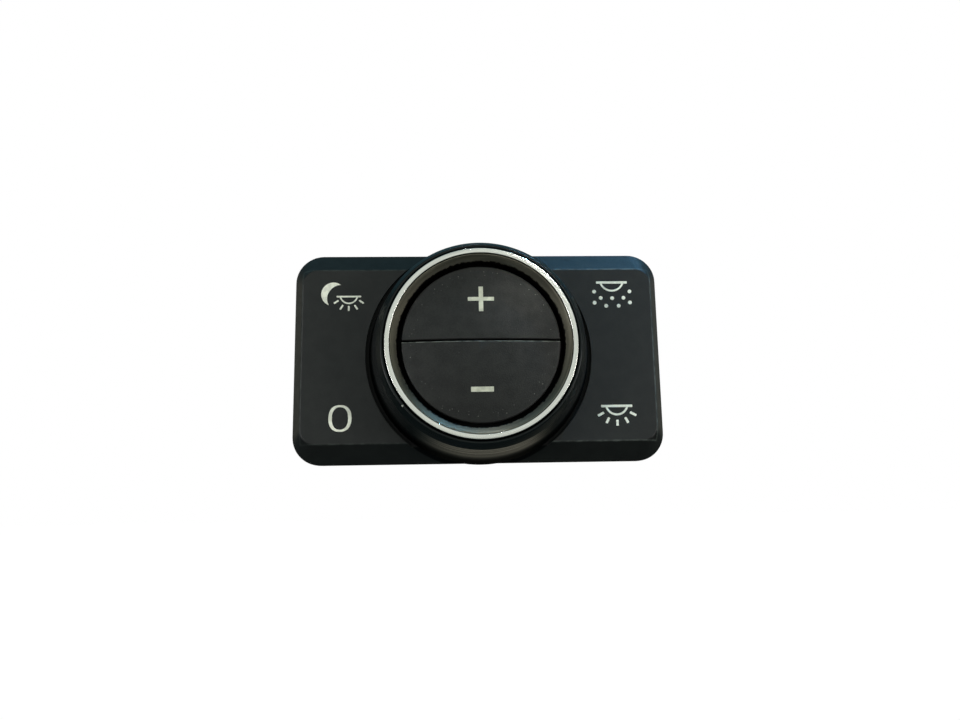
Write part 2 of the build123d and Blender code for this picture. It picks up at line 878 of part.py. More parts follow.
with BuildPart() as rear_housing:
    with BuildSketch(front(housing_back)):
        RectangleRounded(housing_width, housing_height, housing_corner)
    extrude(amount=underside - housing_back)
    fillet(rear_housing.faces().sort_by(Axis.Y)[-1].edges(), housing_round)
    with BuildSketch(front(housing_floor)):
        RectangleRounded(cavity_width, cavity_height, housing_corner - housing_wall)
    extrude(amount=underside - housing_floor, mode=Mode.SUBTRACT)
    # Scallops in the long walls, clear of the detent ring
    with BuildSketch(front(sleeve_back - end_play)):
        Circle(detent_radius + ring_margin)
    extrude(amount=underside - sleeve_back + end_play, mode=Mode.SUBTRACT)
    # Posts and corner ledges under the board
    with BuildSketch(front(housing_floor)):
        with GridLocations(2 * post_x, 0, 2, 1):
            Circle(post_radius)
        with GridLocations(cavity_width - ledge_size, cavity_height - ledge_size, 2, 2):
            Rectangle(ledge_size, ledge_size)
    extrude(amount=board_back - housing_floor)
    with BuildSketch(front(board_back)):
        with GridLocations(2 * post_x, 0, 2, 1):
            Circle(screw_radius + fit_gap)
    extrude(amount=-(board_screw_bite + end_play), mode=Mode.SUBTRACT)
    # Windows for the faceplate's snap hooks
    with BuildSketch(Plane.XY):
        with GridLocations(2 * hook_x, 0, 2, 1):
            with Locations((0, -hook_tip - hook_catch / 2)):
                Rectangle(hook_width + 2 * hook_gap, hook_catch + 2 * hook_gap)
    extrude(amount=housing_height / 2, both=True, mode=Mode.SUBTRACT)
    # Pockets for the panel clips, each with a strap across the clip's foot
    with BuildSketch(front(housing_back)):
        with GridLocations(housing_width, 0, 2, 1):
            Rectangle(2 * pocket_depth, clip_width + 2 * hook_gap)
    extrude(amount=housing_depth - panel_thickness / 2, mode=Mode.SUBTRACT)
    with BuildSketch(front(strap_back)):
        with GridLocations(housing_width + strap_wall, 0, 2, 1):
            Rectangle(strap_wall, clip_width + 2 * strap_end)
    extrude(amount=strap_length)
    # Connector shroud with a latch ramp, open to the pins through the back wall
    with BuildSketch(front(shroud_back)):
        with Locations((0, connector_z)):
            RectangleRounded(shroud_width, shroud_height, shroud_corner)
    extrude(amount=shroud_depth)
    with BuildSketch(front(shroud_back)):
        with Locations((0, connector_z)):
            RectangleRounded(shroud_width - 2 * shroud_wall, shroud_height - 2 * shroud_wall, 0.4)
    extrude(amount=shroud_depth, mode=Mode.SUBTRACT)
    with BuildSketch(front(housing_back)):
        with Locations((0, connector_z)):
            Rectangle(pin_span_x + 2 * pin_size, pin_span_z + 2 * pin_size)
    extrude(amount=housing_wall, mode=Mode.SUBTRACT)
    with BuildSketch(Plane.YZ):
        with BuildLine():
            Polyline(
                (-shroud_back, connector_z + shroud_height / 2 - fit_gap),
                (-shroud_back - latch_length, connector_z + shroud_height / 2 - fit_gap),
                (-shroud_back - latch_length, connector_z + shroud_height / 2 + latch_rise),
                close=True,
            )
        make_face()
    extrude(amount=latch_width / 2, both=True)
rear_housing.part.label = "rear_housing"
export_step(rear_housing.part, "parts/rear_housing.step")

# Screws: four from behind the board into the hub, two from its front into the housing
with BuildPart() as hub_screws:
    with BuildSketch(front(board_back - screw_head)):
        with GridLocations(2 * boss_x, 2 * boss_z, 2, 2):
            Circle(screw_head_radius)
    extrude(amount=screw_head)
    fillet(round_edges(hub_screws, screw_head_radius, board_back - screw_head), screw_round)
    with BuildSketch(front(board_back)):
        with GridLocations(2 * boss_x, 2 * boss_z, 2, 2):
            Circle(screw_radius)
    extrude(amount=board_thickness + hub_screw_bite)
    with BuildSketch(front(board_back - screw_head)):
        with GridLocations(2 * boss_x, 2 * boss_z, 2, 2):
            Rectangle(2 * screw_head_radius, screw_slot)
    extrude(amount=screw_head / 2, mode=Mode.SUBTRACT)
hub_screws.part.label = "hub_screws"
export_step(hub_screws.part, "parts/hub_screws.step")

with BuildPart() as board_screws:
    with BuildSketch(front(board_front)):
        with GridLocations(2 * post_x, 0, 2, 1):
            Circle(screw_head_radius)
    extrude(amount=screw_head)
    fillet(round_edges(board_screws, screw_head_radius, board_front + screw_head), screw_round)
    with BuildSketch(front(board_back - board_screw_bite)):
        with GridLocations(2 * post_x, 0, 2, 1):
            Circle(screw_radius)
    extrude(amount=board_screw_bite + board_thickness)
    with BuildSketch(front(board_front + screw_head)):
        with GridLocations(2 * post_x, 0, 2, 1):
            Rectangle(2 * screw_head_radius, screw_slot)
    extrude(amount=-screw_head / 2, mode=Mode.SUBTRACT)
board_screws.part.label = "board_screws"
export_step(board_screws.part, "parts/board_screws.step")

# Spring clips that bear on the back of the panel, one at each end of the housing
clip_line = housing_width / 2 - pocket_depth + clip_thickness / 2
clip_foot = strap_back + strap_length + clip_thickness

with BuildPart() as right_panel_clip:
    with BuildSketch(Plane.XY):
        with BuildLine():
            FilletPolyline(
                (clip_line, -strap_back + hook_gap),
                (clip_line, -clip_foot),
                (clip_line + clip_bulge, clip_knee),
                (clip_line + clip_bulge - clip_return, panel_thickness + hook_gap),
                radius=clip_bend,
            )
        trace(line_width=clip_thickness)
    extrude(amount=clip_width / 2, both=True)
right_panel_clip.part.label = "right_panel_clip"
export_step(right_panel_clip.part, "parts/right_panel_clip.step")

with BuildPart() as left_panel_clip:
    mirror(right_panel_clip.part, about=Plane.YZ)
left_panel_clip.part.label = "left_panel_clip"
export_step(left_panel_clip.part, "parts/left_panel_clip.step")
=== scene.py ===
"""Looks of a rotary interior light switch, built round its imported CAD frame.

The driver looks along +Y, with Z up, and the knob turns about the Y axis. Sizes in the classes are
millimetres, apart from the studio's, and a level is a distance in front of the plane where the
faceplate seats.
"""

from __future__ import annotations

import json
import logging
import math
from dataclasses import dataclass, field
from enum import Enum
from typing import Callable, Sequence, Union

import bmesh
import bpy
from mathutils import Matrix, Vector

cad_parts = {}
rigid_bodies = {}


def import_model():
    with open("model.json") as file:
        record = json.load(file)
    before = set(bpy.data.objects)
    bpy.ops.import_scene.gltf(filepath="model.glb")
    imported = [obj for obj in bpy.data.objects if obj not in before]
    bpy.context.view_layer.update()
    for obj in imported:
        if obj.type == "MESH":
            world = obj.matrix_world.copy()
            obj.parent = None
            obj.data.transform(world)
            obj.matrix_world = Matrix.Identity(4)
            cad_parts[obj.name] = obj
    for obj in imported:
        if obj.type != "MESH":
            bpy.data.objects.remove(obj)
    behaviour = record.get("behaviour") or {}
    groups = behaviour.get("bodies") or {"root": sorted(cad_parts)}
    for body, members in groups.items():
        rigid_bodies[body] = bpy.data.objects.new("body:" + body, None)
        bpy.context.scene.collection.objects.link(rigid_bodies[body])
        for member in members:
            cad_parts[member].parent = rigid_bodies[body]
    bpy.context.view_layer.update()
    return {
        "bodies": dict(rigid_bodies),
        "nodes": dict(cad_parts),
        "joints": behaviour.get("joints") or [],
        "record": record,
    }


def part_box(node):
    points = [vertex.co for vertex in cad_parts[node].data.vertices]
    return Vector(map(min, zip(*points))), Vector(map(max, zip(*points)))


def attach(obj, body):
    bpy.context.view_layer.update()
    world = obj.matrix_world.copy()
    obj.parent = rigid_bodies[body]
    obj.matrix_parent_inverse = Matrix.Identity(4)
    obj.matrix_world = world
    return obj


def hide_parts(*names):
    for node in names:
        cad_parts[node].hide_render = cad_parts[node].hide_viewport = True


LOG = logging.getLogger("light_switch")
MM = 0.001
# Edges that bend by more than this stay sharp
SHARP_ANGLE = math.radians(32)
# Points nearer to each other than this become one: in metres, and in millimetres on a flat drawing
WELD = 1e-7
SPOT_WELD = 1e-5
# A level in millimetres that is below the whole part
FAR_DOWN = -1000.0

Spot = tuple[float, float]
Corner = tuple[float, float, float]
Colour = tuple[float, float, float]
Feed = Union[float, int, tuple, bpy.types.NodeSocket]


class Body(str, Enum):
    """The rigid bodies that pieces ride on."""

    HOUSING = "housing"
    KNOB = "knob"
    PLUS = "plus_button"
    MINUS = "minus_button"


# Outlines and meshes


def place(x: float, level: float, z: float) -> Vector:
    """Turn millimetres in the front view and a level into a place in the frame."""
    return Vector((x, -level, z)) * MM


def polar(radius: float, angle: float) -> Spot:
    """Return the spot at a radius and an angle in degrees, counted from the driver's right."""
    return radius * math.cos(math.radians(angle)), radius * math.sin(math.radians(angle))


def arc(centre: Spot, radius: float, start: float, end: float, steps: int) -> list[Spot]:
    """Return spots along an arc.

    Args:
        centre: Middle of the arc.
        radius: Its radius.
        start: First angle in degrees.
        end: Last angle in degrees.
        steps: Number of equal parts.

    Returns:
        The spots from the first angle to the last.
    """
    angles = [start + (end - start) * step / steps for step in range(steps + 1)]
    return [(centre[0] + x, centre[1] + z) for x, z in (polar(radius, angle) for angle in angles)]


def meeting_angle(radius: float, other: float, gap: float) -> float:
    """Return the angle at a circle's middle from the other circle's middle to where both cross."""
    return math.degrees(math.acos((gap**2 + radius**2 - other**2) / (2 * gap * radius)))


def both_sides(spots: Sequence[Spot]) -> list[list[Spot]]:
    """Mirror a shape to the left of the middle line.

    Args:
        spots: The shape's spots, counted from the middle line.

    Returns:
        The mirrored shape and the shape, or the shape alone where it lies on the line.
    """
    if all(x == 0 for x, _ in spots):
        return [list(spots)]
    return [[(-x, z) for x, z in spots], list(spots)]


def round_corners(corners: Sequence[Corner], steps: int = 6) -> list[Spot]:
    """Round the corners of a closed outline.

    Args:
        corners: First place, second place and radius of each corner; a radius of 0 keeps it sharp.
        steps: Number of parts in each rounding.

    Returns:
        The outline's spots, in the same order.
    """
    spots: list[Spot] = []
    count = len(corners)
    for index, (first, second, radius) in enumerate(corners):
        here = Vector((first, second))
        if radius <= 0:
            spots.append((first, second))
            continue
        before = (Vector(corners[index - 1][:2]) - here).normalized()
        after = (Vector(corners[(index + 1) % count][:2]) - here).normalized()
        half = before.angle(after) / 2
        start = here + before * (radius / math.tan(half))
        end = here + after * (radius / math.tan(half))
        centre = here + (before + after).normalized() * (radius / math.sin(half))
        for step in range(steps + 1):
            chord = start.lerp(end, step / steps) - centre
            spot = centre + chord.normalized() * radius
            spots.append((spot.x, spot.y))
    return spots


def new_piece(name: str, mesh: bpy.types.Mesh) -> bpy.types.Object:
    """Put a mesh into the scene as a piece at the origin.

    Args:
        name: The piece's name.
        mesh: Its mesh, in the frame.

    Returns:
        The new piece.
    """
    piece = bpy.data.objects.new(name, mesh)
    bpy.context.scene.collection.objects.link(piece)
    return piece


def settle(mesh: bpy.types.Mesh, work: bmesh.types.BMesh) -> None:
    """Weld a mesh under construction, turn its faces outwards, write it and shade it.

    Args:
        mesh: The mesh that takes the result.
        work: The mesh under construction, which is freed.
    """
    bmesh.ops.remove_doubles(work, verts=work.verts, dist=WELD)
    bmesh.ops.recalc_face_normals(work, faces=work.faces)
    work.to_mesh(mesh)
    work.free()
    mesh.polygons.foreach_set("use_smooth", [True] * len(mesh.polygons))
    mesh.set_sharp_from_angle(angle=SHARP_ANGLE)


def piece_from(name: str, work: bmesh.types.BMesh) -> bpy.types.Object:
    """Make a piece from a mesh under construction.

    Args:
        name: The piece's name.
        work: The mesh under construction, which is freed.

    Returns:
        The finished piece.
    """
    mesh = bpy.data.meshes.new(name)
    settle(mesh, work)
    return new_piece(name, mesh)


def turned(name: str, outline: Sequence[Spot], steps: int = 288) -> bpy.types.Object:
    """Turn a closed half section round the knob's axis.

    Args:
        name: The piece's name.
        outline: Radius and level of each spot of the section.
        steps: Number of parts of the full turn.

    Returns:
        The turned piece.
    """
    work = bmesh.new()
    loops = []
    for step in range(steps):
        angle = 2 * math.pi * step / steps
        loops.append(
            [
                work.verts.new(place(radius * math.cos(angle), level, radius * math.sin(angle)))
                for radius, level in outline
            ]
        )
    for step, loop in enumerate(loops):
        following = loops[(step + 1) % steps]
        for index, vertex in enumerate(loop):
            after = (index + 1) % len(loop)
            work.faces.new((vertex, loop[after], following[after], following[index]))
    return piece_from(name, work)


Surface = Callable[[float, float], float]


@dataclass
class Inlay:
    """Flat marks that lie on a surface as closed shapes a few hundredths of a millimetre proud."""

    surface: Surface
    proud: float = 0.02
    depth: float = 0.06
    corner_step: float = 0.3
    dot_steps: int = 16
    work: bmesh.types.BMesh = field(default_factory=bmesh.new)

    def patch(self, outline: Sequence[Spot]) -> None:
        """Add a filled shape."""
        self.work.faces.new([self.work.verts.new((x, 0, z)) for x, z in outline])

    def ribbon(self, left: Sequence[Spot], right: Sequence[Spot], closed: bool = False) -> None:
        """Add the strip between two lines.

        Args:
            left: Spots along one side.
            right: As many spots along the other side.
            closed: True where the strip joins its own start.
        """
        first = [self.work.verts.new((x, 0, z)) for x, z in left]
        second = [self.work.verts.new((x, 0, z)) for x, z in right]
        count = len(first)
        for index in range(count if closed else count - 1):
            after = (index + 1) % count
            self.work.faces.new((first[index], first[after], second[after], second[index]))

    def bar(self, start: Spot, end: Spot, width: float, parts: int = 1, soft: float = 0.12) -> None:
        """Add a straight bar with soft corners.

        Args:
            start: Middle of one end.
            end: Middle of the other end.
            width: Width of the bar.
            parts: Number of parts along it, so that it can follow a curved surface.
            soft: Radius of its corners.
        """
        head = Vector(start)
        tail = Vector(end)
        along = (tail - head).normalized()
        across = Vector((-along.y, along.x)) * width / 2
        length = (tail - head).length
        first_step = soft * self.corner_step
        places = [0.0, first_step, soft]
        places += [soft + (length - 2 * soft) * part / parts for part in range(1, parts)]
        places += [length - soft, length - first_step, length]
        left, right = [], []
        for spot in places:
            end_gap = min(spot, length - spot)
            pull = 0.0
            if end_gap < soft:
                pull = soft - math.sqrt(max(soft**2 - (soft - end_gap) ** 2, 0.0))
            edge = across * (1 - 2 * pull / width)
            middle = head + along * spot
            left.append(tuple(middle + edge))
            right.append(tuple(middle - edge))
        self.ribbon(left, right)

    def dot(self, centre: Spot, radius: float) -> None:
        """Add a round dot."""
        self.patch(arc(centre, radius, 0, 360 - 360 / self.dot_steps, self.dot_steps - 1))

    def finish(self, name: str) -> bpy.types.Object:
        """Give the shapes their thickness and lay them on the surface.

        Args:
            name: The piece's name.

        Returns:
            The finished marks as one piece.
        """
        work = self.work
        bmesh.ops.remove_doubles(work, verts=work.verts, dist=SPOT_WELD)
        base = list(work.verts)
        grown = bmesh.ops.extrude_face_region(work, geom=list(work.faces), use_keep_orig=True)
        top = [item for item in grown["geom"] if isinstance(item, bmesh.types.BMVert)]
        for vertices, rise in ((base, -self.depth), (top, self.proud)):
            for vertex in vertices:
                x, _, z = vertex.co
                vertex.co = place(x, self.surface(x, z) + rise, z)
        return piece_from(name, work)


# Writing any kind of node tree


class NodeBook:
    """Adds nodes to a tree and joins them."""

    def __init__(self, tree: bpy.types.NodeTree) -> None:
        """Keep the tree that nodes go into."""
        self.tree = tree

    def feed(self, socket: bpy.types.NodeSocket, value: Feed) -> None:
        """Join a socket to an input, or set the input's own value.

        Args:
            socket: The input.
            value: Another node's output, a number, a vector or a colour.
        """
        if isinstance(value, bpy.types.NodeSocket):
            self.tree.links.new(value, socket)
        elif isinstance(value, tuple) and len(value) == 3 and socket.type == "RGBA":
            socket.default_value = (*value, 1.0)
        else:
            socket.default_value = value

    def add(self, kind: str, feeds: dict[str, Feed], **settings: object) -> bpy.types.Node:
        """Add a node with its settings and inputs.

        Args:
            kind: The node's type.
            feeds: Value or socket for each of its named inputs.
            settings: The node's own settings.

        Returns:
            The new node.
        """
        node = self.tree.nodes.new(kind)
        for key, value in settings.items():
            setattr(node, key, value)
        for key, value in feeds.items():
            self.feed(node.inputs[key], value)
        return node

    def number(self, operation: str, first: Feed, second: Feed = 0.0) -> bpy.types.NodeSocket:
        """Work out one number from one or two.

        Args:
            operation: The Math node's operation.
            first: Its first number.
            second: Its second number, where it takes one.

        Returns:
            The result's socket.
        """
        node = self.add("ShaderNodeMath", {}, operation=operation)
        self.feed(node.inputs[0], first)
        self.feed(node.inputs[1], second)
        return node.outputs[0]

    def vector(self, x: Feed = 0.0, y: Feed = 0.0, z: Feed = 0.0) -> bpy.types.NodeSocket:
        """Join three numbers into a vector."""
        return self.add("ShaderNodeCombineXYZ", {"X": x, "Y": y, "Z": z}).outputs[0]

    def parts(self, vector: Feed) -> tuple[bpy.types.NodeSocket, ...]:
        """Split a vector into its three numbers."""
        return tuple(self.add("ShaderNodeSeparateXYZ", {"Vector": vector}).outputs)


# Geometry node trees for what repeats or follows a path


class ShapeTree(NodeBook):
    """A geometry node tree whose own axes are right, up and level, turned to the frame at its end."""

    def __init__(self, name: str, sizes: dict[str, float]) -> None:
        """Start a tree.

        Args:
            name: The tree's name.
            sizes: Each named input with its default, in millimetres, or a whole number for a count.
        """
        super().__init__(bpy.data.node_groups.new(name, "GeometryNodeTree"))
        face = self.tree.interface
        face.new_socket("Geometry", in_out="OUTPUT", socket_type="NodeSocketGeometry")
        for key, value in sizes.items():
            kind = "NodeSocketInt" if isinstance(value, int) else "NodeSocketFloat"
            socket = face.new_socket(key, in_out="INPUT", socket_type=kind)
            socket.default_value = value if isinstance(value, int) else value * MM
        face.new_socket("Finish", in_out="INPUT", socket_type="NodeSocketMaterial")
        self.start = self.tree.nodes.new("NodeGroupInput")
        self.end = self.tree.nodes.new("NodeGroupOutput")

    def size(self, name: str) -> bpy.types.NodeSocket:
        """Return a named input's socket inside the tree."""
        return self.start.outputs[name]

    def close(self, geometry: bpy.types.NodeSocket) -> None:
        """Turn the shape into the frame, make its copies real and give them their finish.

        Args:
            geometry: The finished shape, in the tree's own axes.
        """
        turn = self.add(
            "GeometryNodeTransform", {"Geometry": geometry, "Rotation": (math.pi / 2, 0.0, 0.0)}
        )
        real = self.add("GeometryNodeRealizeInstances", {"Geometry": turn.outputs[0]})
        dressed = self.add(
            "GeometryNodeSetMaterial",
            {"Geometry": real.outputs[0], "Material": self.size("Finish")},
        )
        self.tree.links.new(dressed.outputs[0], self.end.inputs[0])

    def grow(self, name: str, finish: bpy.types.Material, **sizes: float) -> bpy.types.Object:
        """Make a plain mesh piece with the tree.

        Args:
            name: The piece's name.
            finish: Its material.
            sizes: Inputs that differ from the defaults, with _ for a space, in millimetres.

        Returns:
            The piece, with no modifier left on it.
        """
        piece = new_piece(name, bpy.data.meshes.new(name))
        shape = piece.modifiers.new("shape", "NODES")
        shape.node_group = self.tree
        wanted = {key.replace("_", " "): value for key, value in sizes.items()}
        for item in self.tree.interface.items_tree:
            if item.in_out != "INPUT":
                continue
            if item.name == "Finish":
                shape[item.identifier] = finish
            elif item.name in wanted:
                value = wanted[item.name]
                shape[item.identifier] = value if isinstance(value, int) else value * MM
        graph = bpy.context.evaluated_depsgraph_get()
        grown = bpy.data.meshes.new_from_object(piece.evaluated_get(graph))
        piece.modifiers.remove(shape)
        piece.data = grown
        work = bmesh.new()
        work.from_mesh(grown)
        settle(grown, work)
        return piece


def pin_field_tree() -> ShapeTree:
    """Build the tree for rows of square pins with tapered tips.

    Returns:
        The tree, whose inputs are the pins' sizes, number and place.
    """
    blunt_share = 0.45
    shape = ShapeTree(
        "pin_field",
        {
            "Columns": 4,
            "Rows": 2,
            "Pitch X": 4.0,
            "Pitch Z": 2.8,
            "Side": 0.64,
            "Length": 16.0,
            "Tip": 0.5,
            "Front Level": -2.0,
            "Height": -10.0,
        },
    )
    columns, rows = shape.size("Columns"), shape.size("Rows")
    span_x = shape.number("MULTIPLY", shape.number("SUBTRACT", columns, 1.0), shape.size("Pitch X"))
    span_z = shape.number("MULTIPLY", shape.number("SUBTRACT", rows, 1.0), shape.size("Pitch Z"))
    field_points = shape.add(
        "GeometryNodeMeshGrid",
        {"Size X": span_x, "Size Y": span_z, "Vertices X": columns, "Vertices Y": rows},
    )
    side, length, tip = shape.size("Side"), shape.size("Length"), shape.size("Tip")
    shank_length = shape.number("SUBTRACT", length, tip)
    shank = shape.add("GeometryNodeMeshCube", {"Size": shape.vector(side, side, shank_length)})
    half = shape.number("DIVIDE", shank_length, -2.0)
    shank_low = shape.add(
        "GeometryNodeTransform", {"Geometry": shank.outputs[0], "Translation": shape.vector(z=half)}
    )
    wide = shape.number("MULTIPLY", side, math.sqrt(0.5))
    narrow = shape.number("MULTIPLY", wide, blunt_share)
    point = shape.add(
        "GeometryNodeMeshCone",
        {"Vertices": 4, "Radius Top": narrow, "Radius Bottom": wide, "Depth": tip},
    )
    drop = shape.number("MULTIPLY", shank_length, -1.0)
    tip_low = shape.add(
        "GeometryNodeTransform",
        {
            "Geometry": point.outputs[0],
            "Rotation": (math.pi, 0.0, math.pi / 4),
            "Translation": shape.vector(z=drop),
        },
    )
    pin = shape.tree.nodes.new("GeometryNodeJoinGeometry")
    shape.tree.links.new(shank_low.outputs[0], pin.inputs[0])
    shape.tree.links.new(tip_low.outputs[0], pin.inputs[0])
    pins = shape.add(
        "GeometryNodeInstanceOnPoints",
        {"Points": field_points.outputs[0], "Instance": pin.outputs[0]},
    )
    lifted = shape.add(
        "GeometryNodeTransform",
        {
            "Geometry": pins.outputs[0],
            "Translation": shape.vector(y=shape.size("Height"), z=shape.size("Front Level")),
        },
    )
    shape.close(lifted.outputs[0])
    return shape


def round_ring_tree() -> ShapeTree:
    """Build the tree for a ring with a rounded section, which follows a circle.

    Returns:
        The tree, whose inputs are the ring's sizes and its lowest level.
    """
    shape = ShapeTree(
        "round_ring",
        {"Radius": 19.8, "Width": 1.0, "Height": 2.8, "Round": 0.45, "Level": 18.4, "Steps": 288},
    )
    path = shape.add(
        "GeometryNodeCurvePrimitiveCircle",
        {"Resolution": shape.size("Steps"), "Radius": shape.size("Radius")},
    )
    section = shape.add(
        "GeometryNodeCurvePrimitiveQuadrilateral",
        {"Width": shape.size("Width"), "Height": shape.size("Height")},
    )
    softened = shape.add(
        "GeometryNodeFilletCurve",
        {"Curve": section.outputs[0], "Count": 8, "Radius": shape.size("Round")},
        mode="POLY",
    )
    ring = shape.add(
        "GeometryNodeCurveToMesh", {"Curve": path.outputs[0], "Profile Curve": softened.outputs[0]}
    )
    half = shape.number("DIVIDE", shape.size("Height"), 2.0)
    lift = shape.number("ADD", shape.size("Level"), half)
    raised = shape.add(
        "GeometryNodeTransform", {"Geometry": ring.outputs[0], "Translation": shape.vector(z=lift)}
    )
    shape.close(raised.outputs[0])
    return shape


# Shader groups and finishes


class ShaderBook(NodeBook):
    """A node book with what only shader trees need."""

    # Where a Mix node has the sockets for colours
    MIX_SHARE, MIX_FIRST, MIX_SECOND, MIX_RESULT = 0, 6, 7, 2

    @classmethod
    def on(cls, owner: Union[bpy.types.Material, bpy.types.World]) -> ShaderBook:
        """Empty the tree of a material or a world.

        Args:
            owner: The material or world.

        Returns:
            A book on its tree.
        """
        owner.use_nodes = True
        owner.node_tree.nodes.clear()
        return cls(owner.node_tree)

    def spread(
        self, value: Feed, low: Feed, high: Feed, to_low: Feed = 0.0, to_high: Feed = 1.0
    ) -> bpy.types.NodeSocket:
        """Map a number smoothly from one range to another."""
        feeds = {"Value": value, "From Min": low, "From Max": high, "To Min": to_low, "To Max": to_high}
        return self.add("ShaderNodeMapRange", feeds, interpolation_type="SMOOTHSTEP").outputs[0]

    def blend(self, share: Feed, first: Feed, second: Feed) -> bpy.types.NodeSocket:
        """Mix two colours.

        Args:
            share: Share of the second colour.
            first: Colour at a share of 0.
            second: Colour at a share of 1.

        Returns:
            The mixed colour's socket.
        """
        node = self.add("ShaderNodeMix", {}, data_type="RGBA")
        self.feed(node.inputs[self.MIX_SHARE], share)
        self.feed(node.inputs[self.MIX_FIRST], first)
        self.feed(node.inputs[self.MIX_SECOND], second)
        return node.outputs[self.MIX_RESULT]

    def noise(self, vector: Feed, scale: Feed, detail: float = 2.0) -> bpy.types.NodeSocket:
        """Add a noise pattern and return its value."""
        node = self.add("ShaderNodeTexNoise", {"Vector": vector, "Scale": scale, "Detail": detail})
        return node.outputs[0]

    def group(self, tree: bpy.types.NodeTree, **feeds: Feed) -> bpy.types.Node:
        """Place a shader group.

        Args:
            tree: The group's tree.
            feeds: Its inputs, with _ for a space in their names.

        Returns:
            The group's node.
        """
        node = self.add("ShaderNodeGroup", {}, node_tree=tree)
        for key, value in feeds.items():
            self.feed(node.inputs[key.replace("_", " ")], value)
        return node

    def bump(self, shader: bpy.types.Node, height: Feed, depth: float, strength: float = 1.0) -> None:
        """Raise a shader's surface by a pattern whose depth is in millimetres."""
        feeds = {"Height": height, "Distance": depth * MM, "Strength": strength}
        self.feed(shader.inputs["Normal"], self.add("ShaderNodeBump", feeds).outputs[0])


